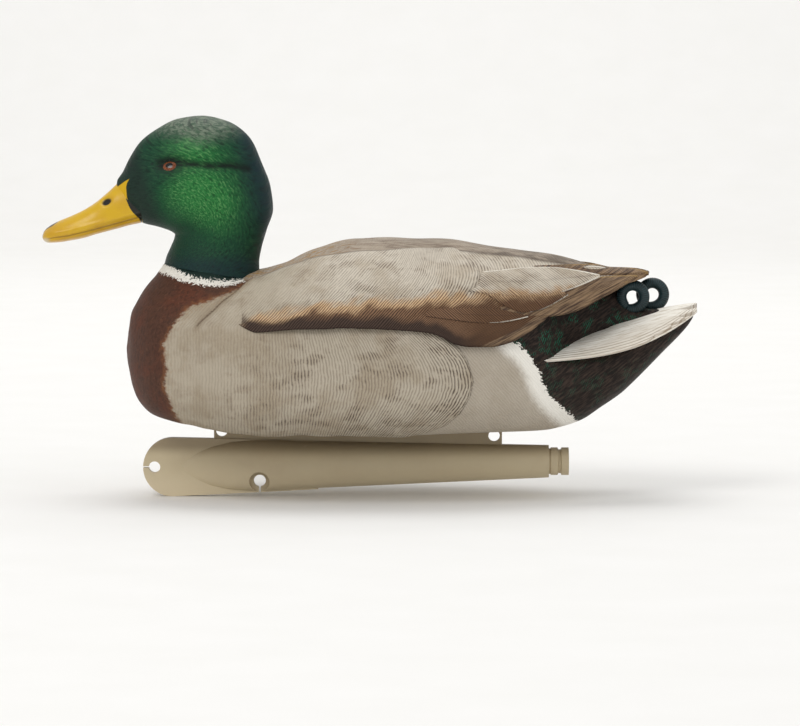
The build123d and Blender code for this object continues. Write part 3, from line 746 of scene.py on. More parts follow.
def tail_finish(paint):
    """White tail feathers with lengthwise streaks, painted shade at each feather's outer edge and low on the
    fan, dark where the rump's hair lies over them.
    """
    f = Finish("tail_feather", 0.65, 0.3)
    spot = f.spot()
    streaks = f.noise(f.turned(f.flow(), (0, 0, 0.06), (0.12, 1, 1)), 1.3, 3, 0.6)
    f.body = f.blend(f.rise(streaks, 0.42, 0.68), "f4f0e6", "d3c9b9")
    # Painted shade at each tail feather's outer edge, where it lies over the next one.
    f.coat(f.rise(f.marked("rim"), -0.5, 0.4, 0.0, 0.55), "8f8070")
    wobble = f.wander(f.turned(spot, (0, -0.3, 0), (0.2, 1, 1)), 5, 2, 0.5, 1.2)
    from_edge = f.times(f.plus(f.marked("edge"), wobble), MM)
    layers = f.bands(f.add("ShaderNodeCombineXYZ", 0, {0: from_edge}), 3.4)
    layered = f.times(f.rise(layers, 0.72, 0.95), f.rise(f.marked("edge"), 14.0, 9.0))
    f.coat(layered, "7d6a55", 0.75)
    # Painted shade: the fan greys further below the rump's hair.
    f.coat(f.rise(f.marked("shade"), 0.0, 1.0, 0.0, 0.35), "b3a591")
    barbs, rump, hair = barred_rump(f, spot)
    cover = f.ragged("cover", 9.0, 1.8, -0.2, 0.3, (0.2, 1, 1.2), (0, -0.5, 0))
    f.coat(cover, f.blend(barbs, rump, paint.teal))
    f.relief(f.plus(streaks, f.times(hair, 0.3)), 0.6, 0.4)
    return f.done()


def head_finish(paint):
    """Deep green head with painted sheen on the brow, cheek, neck and lores, short bright strokes that follow
    the feathers' flow, and painted shade in the brow furrow and round the eye.
    """
    f = Finish("green_head", 0.5, 0.18)
    strokes = f.noise(f.turned(f.flow(), (0, 0, 0.12), (0.32, 1, 1)), 0.9, 3, 0.62, 0.5)
    longer = f.noise(f.turned(f.flow(), (0, 0, -0.15), (0.25, 1, 1)), 2.0, 2, 0.55, 0.2)
    specks = f.noise(f.turned(f.spot(), (0, 0.2, 0), (0.4, 1, 1)), 1.6, 3, 0.6)
    # Painted sheen: inside these ovals the base green, the bright green and the pale strokes are lighter.
    painted_sheen = f.plus(f.marked("painted_sheen"), f.wander(f.spot(), 15, 3, 0.6, 0.5))
    f.body = f.blend(f.rise(painted_sheen, -0.3, 0.5), "12302a", paint.dark_green)
    f.coat(f.rise(painted_sheen, 0.3, 1.1), paint.bright_green)
    sheen_strokes = f.times(f.rise(strokes, 0.5, 0.66), f.rise(painted_sheen, 0.35, 0.95, 0.15, 1.0))
    f.coat(sheen_strokes, paint.fleck, 0.4)
    f.coat(f.times(f.marked("crown"), f.rise(specks, 0.4, 0.62, 0.3, 0.95)), "75806f")
    f.coat(f.times(f.marked("nape"), f.rise(longer, 0.3, 0.7, 0.7, 1.0)), "122a30")
    f.coat(f.marked("face"), "1b2a24", 0.8)
    f.coat(f.rise(strokes, 0.5, 0.34), "081612", 0.55)
    # Painted shade in the brow furrow and round the eye's hollow.
    f.coat(f.times(f.marked("furrow"), f.rise(longer, 0.3, 0.6, 0.6, 0.95)), "06100d")
    beak = f.rise(f.marked("beak"), -0.25, 0.25)
    f.coat(beak, paint.bill)
    f.set("Roughness", f.rise(strokes, 0.3, 0.7, 0.4, 0.6))
    feathers = f.times(f.plus(strokes, f.times(longer, 0.9)), f.maths("SUBTRACT", 1.0, beak))
    f.relief(feathers, 0.8, 0.5)
    return f.done()


def bill_finish(paint):
    """Yellow bill with a warm lower edge, dark nostrils, gape line and nail."""
    f = Finish("bill_paint", 0.36, 0.4)
    spot = f.spot()
    cloud = f.noise(spot, 14, 3, 0.55)
    speck = f.noise(spot, 0.9, 3, 0.6)
    f.body = f.blend(f.rise(cloud, 0.4, 0.7), paint.bill, "c99a1c")
    f.coat(f.rise(f.marked("gape"), 2.0, -3.5, 0.0, 0.55), "cf980a")
    f.coat(f.rise(speck, 0.6, 0.75), "b98a1c", 0.25)
    f.coat(f.rise(f.maths("ABSOLUTE", f.marked("gape")), 0.8, 0.1, 0.0, 0.55), "7a560f")
    f.coat(f.rise(f.marked("nostril"), 0.62, 0.86), "120d0b")
    f.coat(f.ragged("nail", 1.6, 1.2, -0.3, 0.3), "231d19")
    f.coat(f.rise(f.marked("tip"), 0.3, 0.9), "cdb98f")
    f.coat(f.ragged("root", 0.9, 0.9, -0.35, 0.1), "191b14")
    f.set("Roughness", f.rise(speck, 0.3, 0.8, 0.28, 0.42))
    f.set("Coat Weight", 0.12)
    f.set("Coat Roughness", 0.25)
    f.relief(f.plus(cloud, f.times(speck, 0.3)), 0.25, 0.4)
    return f.done()


def eye_finish(paint):
    """Brown iris with a black pupil under a clear gloss."""
    f = Finish("eye", 0.15, 0.3)
    ring = f.marked("ring")
    rays = f.noise(f.turned(f.flow(), (0, 0, 0), (1, 6, 1)), 1.2, 2, 0.6)
    iris = f.blend(f.rise(rays, 0.3, 0.7), paint.iris, "552c15")
    f.body = f.blend(f.rise(ring, 0.46, 0.54), "0a0707", iris)
    f.coat(f.rise(ring, 0.86, 0.97), "1d100b")
    f.set("Coat Weight", 0.3)
    f.set("Coat Roughness", 0.04)
    return f.done()


def curl_finish():
    """Dark blue-green curled feathers with fine lines round them."""
    f = Finish("curl_feather", 0.5, 0.4)
    barbs = f.bands(f.flow(), 1.1, 3.0, 0.6, 2.0)
    cloud = f.noise(f.spot(), 6, 3, 0.6)
    f.body = f.blend(f.rise(cloud, 0.35, 0.7), "14262a", "0a1114")
    f.coat(f.rise(barbs, 0.45, 0.85), "27474b", 0.55)
    f.relief(barbs, 0.5, 0.3)
    return f.done()


def keel_finish(paint):
    """Tan moulded plastic, a little mottled, with soft scuffs, painted shade under its top and painted light
    at its lower edge.
    """
    f = Finish("keel_plastic", 0.46, 0.45)
    spot = f.spot()
    cloud = f.noise(spot, 32, 4, 0.6)
    scuffs = f.noise(f.turned(spot, (0, 0.1, 0), (0.25, 1, 1)), 2.5, 4, 0.7)
    grain = f.noise(spot, 0.6, 2, 0.5)
    f.body = f.blend(f.rise(cloud, 0.35, 0.8), paint.keel, "c2b192")
    # Painted shade just under the keel's top, below the belly.
    f.coat(f.rise(f.axis(spot, 2), *KEEL_PAINTED_SHADE, 0.0, 0.7), "85745a")
    # Painted light at the keel's lower edge, as from the floor.
    f.coat(f.rise(f.axis(spot, 2), *KEEL_PAINTED_LIGHT, 0.0, 0.6), "dccdae")
    f.coat(f.rise(scuffs, 0.62, 0.78), "d0c0a0", 0.35)
    f.set("Roughness", f.rise(scuffs, 0.3, 0.75, 0.4, 0.58))
    f.relief(f.plus(grain, f.times(cloud, 1.5)), 0.22, 0.35)
    return f.done()


def plain_part_finish(name, tone, worn, roughness, metallic=0.0):
    """Moulded, rubber or metal parts of the swivel and the fixings."""
    f = Finish(name, roughness, 0.5)
    scuffs = f.noise(f.turned(f.spot(), (0, 0, 0), (1, 1, 0.2)), 1.4, 4, 0.65)
    f.body = f.blend(f.rise(scuffs, 0.35, 0.75), tone, worn)
    f.set("Metallic", metallic)
    f.set("Roughness", f.rise(scuffs, 0.3, 0.8, roughness * 0.8, min(1.0, roughness * 1.25)))
    f.relief(scuffs, 0.2, 0.1)
    return f.done()


# ---- Torso ----
# How far the moulded feathers stand out of the torso, or lie in it.
FLANK_LIFT, SHOULDER_LIFT, GROOVE_DEPTH, GROOVE_WIDTH, FLANK_PLUMPNESS = 1.5, 1.8, 0.8, 1.3, 0.35


def torso_surface(share, angle):
    """Points of the torso at a share of its length and an angle round it."""
    x = along_table(TORSO, (1 - np.cos(math.pi * share)) / 2)
    low, foot_low, foot_high, high = columns(TORSO)[:4]
    across, up = squared_ring(angle, np.where(np.sin(angle) >= 0, TORSO_SQUARENESS, BELLY_SQUARENESS))
    upper = up >= 0
    width = np.where(upper, swelling(TORSO, 6)(x), swelling(TORSO, 5)(x))
    foot = np.where(upper, foot_high(x), foot_low(x))
    rise = np.where(upper, high(x) - foot_high(x), foot_low(x) - low(x))
    return np.stack([x, width * across, foot + rise * up], 1)


def raise_to_seat(points):
    """Draws the shoulders up to the flat seat of the neck swivel."""
    seat = SEAT_Z - (points[:, 0] - SEAT_X) * math.tan(SEAT_LEAN)
    away = np.hypot((points[:, 0] - SEAT_X) / math.cos(SEAT_LEAN), points[:, 1])
    share = smooth(SEAT_RISE)(away) * (points[:, 2] > 100)
    points[:, 2] += (seat - points[:, 2]) * share
    return points


def torso_relief(points):
    """How far the moulded feathers stand out of the torso, in millimetres."""
    along, height = side_view(points)
    flank = from_border(FLANK_REAR, along, height)
    groove = from_border(SHOULDER_GROOVE, along, height)
    ahead = ease(along, -112.0, -100.0)
    lift = FLANK_LIFT * ease(-flank, -0.8, 1.2) * ease(along, -20.0, 40.0)
    shoulder = SHOULDER_LIFT * ease(groove, -1.0, 1.0) * ahead * ease(along, -40.0, -66.0)
    trough = -GROOVE_DEPTH * hump(groove, GROOVE_WIDTH) * ahead
    rows = np.sin(along / 4.6 + 1.7 * np.sin(height / 9.0))
    tiers = np.sin(height / 7.4 + 1.1 * np.sin(along / 13.0))
    plump = FLANK_PLUMPNESS * rows * tiers * ease(-flank, 0.0, 8.0)
    return lift + shoulder + trough + plump


class DECOY_OT_torso(bpy.types.Operator):
    """Build the torso's skin with its moulded relief and paint borders"""
    bl_idname = "decoy.torso"
    bl_label = "Torso"

    def execute(self, context):
        sizes, paint = context.scene.decoy_sizes, context.scene.decoy_paint
        torso = ring_form("torso", sizes.torso_rings, sizes.torso_turns)
        points = raise_to_seat(torso_surface(*rings_of(torso)))
        place(torso, points)
        outward(torso)
        swell(torso, torso_relief(points))
        along, height = side_view(points)
        mark(torso, "flank_rear", -from_border(FLANK_REAR, along, height))
        rounding = 0.0255 * (height - 71.0) ** 2 * ease(along, -70.0, 50.0)
        slant = -0.95 * np.maximum(height - 103.0, 0) * ease(-along, 50.0, 72.0)
        mark_flow(torso, along + rounding + slant, height)
        # Distance from the shoulder groove, for the painted shade in it.
        groove = np.abs(from_border(SHOULDER_GROOVE, along, height))
        mark(torso, "groove", groove + 4 * ease(along, -105.0, -112.0))
        for name, border in PAINT_BORDERS.items():
            mark(torso, name, from_border(border, along, height))
        settle(torso, HULL, plumage_finish(paint), "painted_body", "body_shell")
        return {"FINISHED"}


# ---- Wings ----
# Searches on a mantle section start from an angle below its foot, and stop after this many halvings.
LOWEST_ANGLE, FOOT_HALVINGS, LEAF_HALVINGS = -0.2, 30, 26
# The share of a turn that is the mantle's outside, and how far its underside arches up.
OUTSIDE_SHARE, UNDER_ARCH = 0.78, 0.62


def arc_foot_angle(x, top, foot, width):
    """The angle on a mantle section at which it meets the wing's lower edge in side view."""
    low, high = np.full(x.shape, LOWEST_ANGLE), np.full(x.shape, math.pi / 2)
    edge = smooth(WING_EDGE)
    for _ in range(FOOT_HALVINGS):
        middle = (low + high) / 2
        across, up = squared_ring(middle, TORSO_SQUARENESS)
        y, z = width * across, foot + (top - foot) * up
        along, height = side_view(np.stack([x, y, z], 1))
        above = height > edge(along)
        high, low = np.where(above, middle, high), np.where(above, low, middle)
    return high


def mantle_surface(share, around):
    """Points of the wing mantle. The first part of a turn is its outside, and the rest its underside."""
    x = along_table(MANTLE, share)
    top, foot = (c(x) for c in columns(MANTLE)[:2])
    width = swelling(MANTLE, 3)(x)
    start = arc_foot_angle(x, top, foot, width)
    outer = around <= OUTSIDE_SHARE
    t = np.where(outer, around / OUTSIDE_SHARE, (1 - around) / (1 - OUTSIDE_SHARE))
    angle = start + (math.pi - 2 * start) * t
    across, up = squared_ring(angle, TORSO_SQUARENESS)
    y, z = width * across, foot + (top - foot) * up
    rim_across, rim_up = squared_ring(start, TORSO_SQUARENESS)
    rim_z = foot + (top - foot) * rim_up
    arch = UNDER_ARCH * (top - rim_z) * (1 - (2 * t - 1) ** 2)
    under_y = width * rim_across * (1 - 2 * t)
    y, z = np.where(outer, y, under_y), np.where(outer, z, rim_z + arch)
    return np.stack([x, y, z], 1)


def on_mantle(along, height, side, lift):
    """Points on the mantle's outside at places in side view, raised by lift. side is -1 or 1."""
    x = along.copy()
    top, foot = columns(MANTLE)[:2]
    low, high = np.full(x.shape, LOWEST_ANGLE), np.full(x.shape, math.pi / 2)
    for _ in range(LEAF_HALVINGS):
        middle = (low + high) / 2
        across, up = squared_ring(middle, TORSO_SQUARENESS)
        y, z = swelling(MANTLE, 3)(x) * across, foot(x) + (top(x) - foot(x)) * up
        x = (along + SIDE_MIDDLE * y / SIDE_DEPTH) / (1 + y / SIDE_DEPTH)
        above = z - SIDE_LEAN * y > height
        high, low = np.where(above, middle, high), np.where(above, low, middle)
    normal = np.stack([np.cos(middle), np.sin(middle)], 1)
    return np.stack([x, side * (y + lift * normal[:, 0]), z + lift * normal[:, 1]], 1)


# The dark primaries show below this line of the folded wing.
PRIMARY_BAND = [(60, 88), (92, 103), (100, 109), (118, 118), (141, 133), (180, 142)]
# Rear edge of the scapulars, which lie over the roots of the long feathers.
SCAPULAR_REAR = [
    (30, 170), (50, 151.5), (58, 146), (62.5, 140), (66.4, 135), (65, 129), (60.5, 125.4),
    (52.5, 121.8), (45, 117), (30, 112), (10, 100),
]
# Long feathers of the folded wing in side view: root, tip, half width, its share at the root, bend,
# how far they stand out, and how white the lower and the upper edges are.
TERTIALS = [
    ((34, 111.8), (97, 109.4), 4.8, 0.5, -0.4, 1, 1, 0),
    ((62, 131), (121.4, 122.6), 9, 0.12, -6, 1.7, 1, 0),
    ((44, 131), (141.2, 133.6), 9.4, 0.45, -2.6, 2.4, 1, 1),
    ((110, 139.4), (150, 138.2), 1.5, 0.6, 0.3, 1.5, 0, 1),
]
PRIMARIES = [
    ((80, 113), (150, 127.6), 5, 0.5, -4.6, 0.6, 0, 0),
    ((86, 118), (158, 131.4), 5, 0.5, -4, 1, 0, 0),
    ((92, 126), (164, 134.6), 4.8, 0.5, -3, 1.4, 0, 0),
    ((100, 138.6), (170.4, 136.4), 3.2, 0.5, 1, 1.7, 0, 0),
]


# The half width of a long feather from its broadest part to its tip, and how wide its white rims are.
LEAF_TAPER = [(0.55, 1.0), (0.7, 0.88), (0.8, 0.66), (0.9, 0.37), (1, 0.02)]
LOW_RIM, HIGH_RIM, LEAF_SUNK = 0.7, 1.25, -1.2
# Relief of the mantle: the step down to the back, the scapulars' overlap, the sunk front and the soft tracts.
BACK_VALLEY, SCAPULAR_LIFT, FRONT_SINK, TRACT_LIFT = 1.7, 1.9, 3.5, 0.45


def feather_flow(along, height):
    """The first flow coordinate of the wing: its lines of equal value run as the dark barring does."""
    upward = height - 120.0
    return along - 0.95 * upward + 0.035 * upward ** 2 * ease(along, 15.0, 55.0)


def leaf(name, root, tip, half_width, root_share, bend, lift, low_white, high_white, surface):
    """A long feather that lies on a surface: surface turns side-view places and a lift into points."""
    piece = sheet_form(name, 90, 26)
    grid = read(piece)
    share, across = grid[:, 0], grid[:, 1]
    root, tip = np.array(root), np.array(tip)
    run = np.linalg.norm(tip - root)
    forward = (tip - root) / run
    sideways = np.array([-forward[1], forward[0]])
    taper = smooth([(0, root_share), (0.25, (1 + root_share) / 2), *LEAF_TAPER])(share)
    offset = bend * np.sin(math.pi * share) + half_width * taper * across
    flat = root + np.outer(share * run, forward) + np.outer(offset, sideways)
    behind = from_border(SCAPULAR_REAR, flat[:, 0], flat[:, 1])
    raised = lift * (0.45 + 0.4 * ease(share, 0.3, 0.8) + 0.15 * (1 - across ** 2)) * ease(behind, 0.0, 2.5)
    hidden = (np.abs(across) > 0.985) | (share > 0.995) | (behind < 0.4)
    place(piece, surface(flat[:, 0], flat[:, 1], np.where(hidden, LEAF_SUNK, raised)))
    mark_flow(piece, share * run + 1.3 * offset, 0.4 * offset)
    low_edge, high_edge = half_width * taper * (1 + across), half_width * taper * (1 - across)
    low_rim = np.minimum(LOW_RIM - low_edge, 5 * ease(share, 0.5, 0.66) - 4) - 5 * (1 - low_white)
    high_rim = np.minimum(HIGH_RIM - high_edge, 5 * ease(share, 0.15, 0.3) - 4) - 5 * (1 - high_white)
    mark(piece, "rim", np.maximum(low_rim, high_rim))
    shaft = np.clip(1 - np.abs(half_width * taper * across - 0.3) / 0.5, 0, 1) * ease(share, 0.2, 0.4)
    seam = np.clip(1 - low_edge / 0.8, 0, 1) * ease(0.6 - share, 0.0, 0.1) * low_white
    mark(piece, "shaft", np.maximum(0.6 * shaft, seam))
    unrimmed = (1 - low_white) * (1 - high_white)
    mark(piece, "gilt", np.clip(1.5 - high_edge / 0.9, 0, 1) * unrimmed * ease(share, 0.2, 0.4))
    mark_wing(piece, flat[:, 0], flat[:, 1])
    return piece


def mark_wing(piece, along, height):
    """Keeps what the wing's paint reads at places in side view."""
    mark(piece, "back", from_border(BACK_BORDER, along, height))
    mark(piece, "brown", from_border(BROWN_BORDER, along, height))
    mark(piece, "edge", height - smooth(WING_EDGE)(along))
    mark(piece, "along", along)


def side_leaves(group, name, finish, primary):
    """One group of feathers on each side of the bird, each side a single piece."""
    for side, word in SIDES:
        leaves = [
            leaf(f"{name}_{word}_{k}", *spec, lambda a, h, lift, s=side: on_mantle(a, h, s, lift))
            for k, spec in enumerate(group)
        ]
        piece = joined(leaves, f"{name}_{word}")
        face_away(piece, side)
        mark(piece, "primary", np.full(len(piece.data.vertices), primary))
        settle(piece, HULL, finish, "painted_body")


def joined(pieces, name):
    """One piece made of several."""
    with bpy.context.temp_override(active_object=pieces[0], selected_editable_objects=pieces):
        bpy.ops.object.join()
    pieces[0].name = pieces[0].data.name = name
    return pieces[0]


def face_away(piece, side):
    """Turns the faces of an open sheet away from the bird's middle: up, and towards a side if it isn't 0."""
    rework(piece, lambda form: bmesh.ops.reverse_faces(form, faces=[
        face for face in form.faces if face.normal.y * side + face.normal.z * 0.8 < 0
    ]))


class DECOY_OT_wings(bpy.types.Operator):
    """Build the wing mantle and the long feathers of the folded wings"""
    bl_idname = "decoy.wings"
    bl_label = "Wings"

    def execute(self, context):
        sizes, paint = context.scene.decoy_sizes, context.scene.decoy_paint
        mantle = ring_form("wing_mantle", sizes.mantle_rings, sizes.mantle_turns)
        share, angle = rings_of(mantle)
        around = angle / (2 * math.pi) % 1.0
        points = mantle_surface(share, around)
        place(mantle, points)
        outward(mantle)
        along, height = side_view(points)
        back = from_border(BACK_BORDER, along, height)
        outside = ease(0.775 - around, 0.0, 0.01)
        scapular = from_border(SCAPULAR_REAR, along, height)
        lower_side = ease(-back, -0.5, 0.5)
        valley = -BACK_VALLEY * hump(back - 1.4, 2.0) * ease(along, 70.0, 40.0)
        overlap = SCAPULAR_LIFT * ease(-scapular, -0.6, 0.8) * ease(along, 0.0, 50.0) * lower_side
        tracts = np.sin(along / 7.2 + 1.5 * np.sin(height / 8.0)) * np.sin((height + 0.6 * along) / 8.6)
        ahead = ease(-from_border(SHOULDER_GROOVE, along, height), -0.5, 1.5) * ease(along, -60.0, -68.0)
        sunk = -FRONT_SINK * np.maximum(ahead, ease(along, -78.0, -90.0)) * lower_side
        soft = TRACT_LIFT * tracts * ease(along, -75.0, -45.0)
        swell(mantle, outside * (valley + overlap + sunk + soft))
        mark_flow(mantle, feather_flow(along, height), height)
        mark_wing(mantle, along, height)
        # The mantle's underside, which the paint darkens as painted shade below the wing.
        mark(mantle, "under", ease(around, 0.77, 0.79))
        band = from_border(PRIMARY_BAND, along, height)
        mark(mantle, "primary", ease(-band, -1.0, 1.5))
        finish = wing_finish(paint)
        settle(mantle, HULL, finish, "painted_body")
        side_leaves(PRIMARIES, "primaries", finish, 1.0)
        side_leaves(TERTIALS, "tertials", finish, 0.0)
        return {"FINISHED"}


# ---- Tail ----
def fan_height(x, y):
    """Height of the fan's upper surface, which falls from its ridge to its edges."""
    ridge, edge = (c(x) for c in columns(FAN)[:2])
    return ridge - (ridge - edge) * (np.abs(y) / swelling(FAN, 3)(x)) ** 1.3


# Tail feathers: half width, how wide the fan opens, and the places of the middle one's root and tip.
TAIL_HALF_WIDTH, TAIL_SPREAD = 9.0, 44.0
TAIL_ROOT, TAIL_TIP = (96.0, 6.0), (199.6, 2.0)


def tail_feather(name, side, rank):
    """One feather of the tail fan. Rank 0 is the middle one, and each next one lies lower and further out."""
    share_out = rank / (TAIL_FEATHERS_A_SIDE - 1)
    tip_x = TAIL_TIP[0] - 41.0 * share_out ** 1.7
    tip_y = side * (TAIL_TIP[1] + TAIL_SPREAD * share_out ** 0.8)
    root_x, root_y = TAIL_ROOT[0], side * (TAIL_ROOT[1] + TAIL_SPREAD * share_out)
    piece = sheet_form(name, 60, 16)
    grid = read(piece)
    share, across = grid[:, 0], grid[:, 1]
    taper = smooth([(0, 0.7), (0.55, 1.0), (0.86, 0.8), (0.96, 0.45), (1, 0.08)])(share)
    half_width = TAIL_HALF_WIDTH * taper
    x = root_x + (tip_x - root_x) * share
    y = root_y + (tip_y - root_y) * share + half_width * across
    limit = swelling(FAN, 3)(x)
    y = np.clip(y, -limit, limit)
    lift = 1.7 - 0.32 * rank + 0.45 * (1 - across ** 2)
    lift = np.where(np.abs(across) > 0.99, -0.6, lift)
    points = np.stack([x, y, fan_height(x, y) + lift], 1)
    place(piece, points)
    mark_tail(piece, points)
    mark_flow(piece, x - root_x, half_width * across + 31.0 * rank)
    # Nearness to the feather's outer edge, where painted shade lies between the layers.
    mark(piece, "rim", 0.7 - half_width * (1 - side * across))
    return piece


def mark_tail(piece, points):
    """Keeps where the rump's hair lies over the tail, where painted shade greys the fan below it, and where
    the fan turns down at its edge.
    """
    along, height = side_view(points)
    cover = from_border(TAIL_COVER, along, height)
    mark(piece, "cover", cover - 60 * ease(np.abs(points[:, 1]), 4.0, 0.0) * (along > 185))
    mark(piece, "shade", ease(-cover, 6.0, 13.0))
    mark(piece, "edge", swelling(FAN, 3)(points[:, 0]) - np.abs(points[:, 1]))


def tail_fan():
    """The body of the fan under its feathers: a thin roof with a rounded edge."""
    piece = ring_form("tail_fan", 90, 72)
    share, angle = rings_of(piece)
    x = along_table(FAN, np.sin(share * math.pi / 2))
    across, up = np.cos(angle), np.sin(angle)
    y = swelling(FAN, 3)(x) * across * np.where(share >= 0.9999, 0, 1)
    z = fan_height(x, y) - FAN_THICKNESS / 2 + FAN_THICKNESS / 2 * np.sign(up) * np.abs(up) ** 0.5
    place(piece, np.stack([x, y, z], 1))
    outward(piece)
    mark_tail(piece, points_of(piece))
    mark_flow(piece, x, y)
    mark(piece, "rim", np.full(x.shape, -5.0))
    return piece


def curl(name):
    """A curled tail feather: a loop that starts in the rump and thins towards its end."""
    centre_x, centre_z, side = CURLS[name]
    piece = ring_form(name + "_feather", 90, 28)
    share, angle = rings_of(piece)
    turn = CURL_START + share * CURL_TURN
    radius = CURL_R * (1.05 - 0.12 * share)
    thick = CURL_SECTION * smooth([(0, 0), (0.02, 0.75), (0.2, 1), (0.85, 0.95), (0.98, 0.7), (1, 0)])(share)
    loop_x, loop_z = np.cos(turn), np.sin(turn)
    reach = radius + thick * np.cos(angle)
    x = centre_x + reach * loop_x
    z = centre_z + reach * loop_z
    y = side + thick * 1.15 * np.sin(angle) + side * 0.25 * share
    place(piece, np.stack([x, y, z], 1))
    outward(piece)
    mark_flow(piece, share * CURL_TURN * CURL_R, angle * 2.0)
    return piece


class DECOY_OT_tail(bpy.types.Operator):
    """Build the pale tail fan with its feathers, and the two curled feathers"""
    bl_idname = "decoy.tail"
    bl_label = "Tail"

    def execute(self, context):
        paint = context.scene.decoy_paint
        pale = tail_finish(paint)
        settle(tail_fan(), HULL, pale, "painted_body")
        for side, word in SIDES:
            feathers = [tail_feather(f"tail_{word}_{k}", side, k) for k in range(TAIL_FEATHERS_A_SIDE)]
            piece = joined(feathers, f"tail_feathers_{word}")
            face_away(piece, 0)
            settle(piece, HULL, pale, "painted_body")
        dark = curl_finish()
        for name in CURLS:
            settle(curl(name), HULL, dark, "curl_feather", name)
        return {"FINISHED"}


# ---- Head ----
FURROW_DEPTH, FURROW_WIDTH, EYE_HOLLOW, LID_LIFT, BROW_LIFT = 1.5, 3.2, 0.9, 1.6, 0.6
# Centre and radius of the strokes' swirl round the head.
SWIRL_X, SWIRL_Z, SWIRL_R = -118.0, 160.0, 42.0
# Ovals of painted sheen on the brow, cheek, neck and lores: strength, centre, radii and turn.
SHEEN_PATCHES = [
    (0.8, (-107.0, 212.0), (24.0, 11.0), -0.1),
    (0.95, (-98.0, 185.0), (23.0, 17.0)),
    (0.42, (-92.0, 164.0), (17.0, 16.0)),
    (0.4, (-116.0, 184.0), (19.0, 20.0)),
]
# Above this height the yellow corner stays ahead of a place along the bird.
BEAK_CORNER_Z, BEAK_CORNER_X = 180.0, -146.8


def head_surface(share, angle):
    """Points of the head's skin: rings that run from the neck's foot round the throat to the face."""
    count = len(HEAD_RINGS) - 1
    inner_x, inner_z, outer_x, outer_z, width2, wide = (
        smooth([(k, pick(ring)) for k, ring in enumerate(HEAD_RINGS)])
        for pick in (
            lambda r: r[0][0], lambda r: r[0][1], lambda r: r[1][0], lambda r: r[1][1],
            lambda r: r[2] ** 2, lambda r: r[3],
        )
    )
    at = share * count
    across, up = squared_ring(angle, 2.08)
    middle = wide(at)
    reach = middle + np.where(up >= 0, 1 - middle, middle) * up
    x = inner_x(at) + (outer_x(at) - inner_x(at)) * reach
    z = inner_z(at) + (outer_z(at) - inner_z(at)) * reach
    return np.stack([x, np.sqrt(np.maximum(width2(at), 0)) * across, z], 1)


def head_relief(points):
    """Brow, furrow, cheek and eye hollow, in millimetres."""
    along, height = side_view(points)
    furrow = hump(from_border(BROW_FURROW, along, height), FURROW_WIDTH)
    beside = ease(np.abs(points[:, 1]), 8.0, 16.0)
    hollow = patch(along, height, EYE_AT, (7.5, 5.5))
    lid = patch(along, height, EYE_AT, (5.6, 4.6)) - patch(along, height, EYE_AT, (4.4, 3.5))
    cheek = patch(along, height, (-104.0, 183.0), (20.0, 13.0))
    brow = patch(along, height, (-112.0, 210.0), (16.0, 5.0))
    return beside * (LID_LIFT * lid + cheek + BROW_LIFT * brow - FURROW_DEPTH * furrow - EYE_HOLLOW * hollow)


def eye_spot(points, normals):
    """The place of the left eye on the head's skin, and the way that it looks."""
    along, height = side_view(points)
    distance = np.hypot(along - EYE_SEAT[0], height - EYE_SEAT[1]) + 1000 * (points[:, 1] > 0)
    nearest = np.argsort(distance)[:12]
    return points[nearest].mean(0), normals[nearest].mean(0)


def eye(name, spot, out):
    """A glossy oval eye: a shallow dome with its rim sunk in the head."""
    piece = ring_form(name, 24, 48)
    share, angle = rings_of(piece)
    slope = share * math.pi
    out = Vector(out).normalized()
    forward = Vector((-1, 0, 0))
    ahead = (forward - out * forward.dot(out)).normalized()
    upward = out.cross(ahead)
    flat_a = EYE_ACROSS * np.sin(slope) * np.cos(angle)
    flat_b = EYE_TALL * np.sin(slope) * np.sin(angle)
    height = EYE_BULGE * np.cos(slope) - EYE_SUNK
    place(piece, np.array(spot) + np.outer(flat_a, ahead) + np.outer(flat_b, upward) + np.outer(height, out))
    outward(piece)
    mark(piece, "ring", np.where(share < 0.5, np.sin(slope), 1.0))
    mark_flow(piece, np.sin(slope) * 4, angle)
    return piece


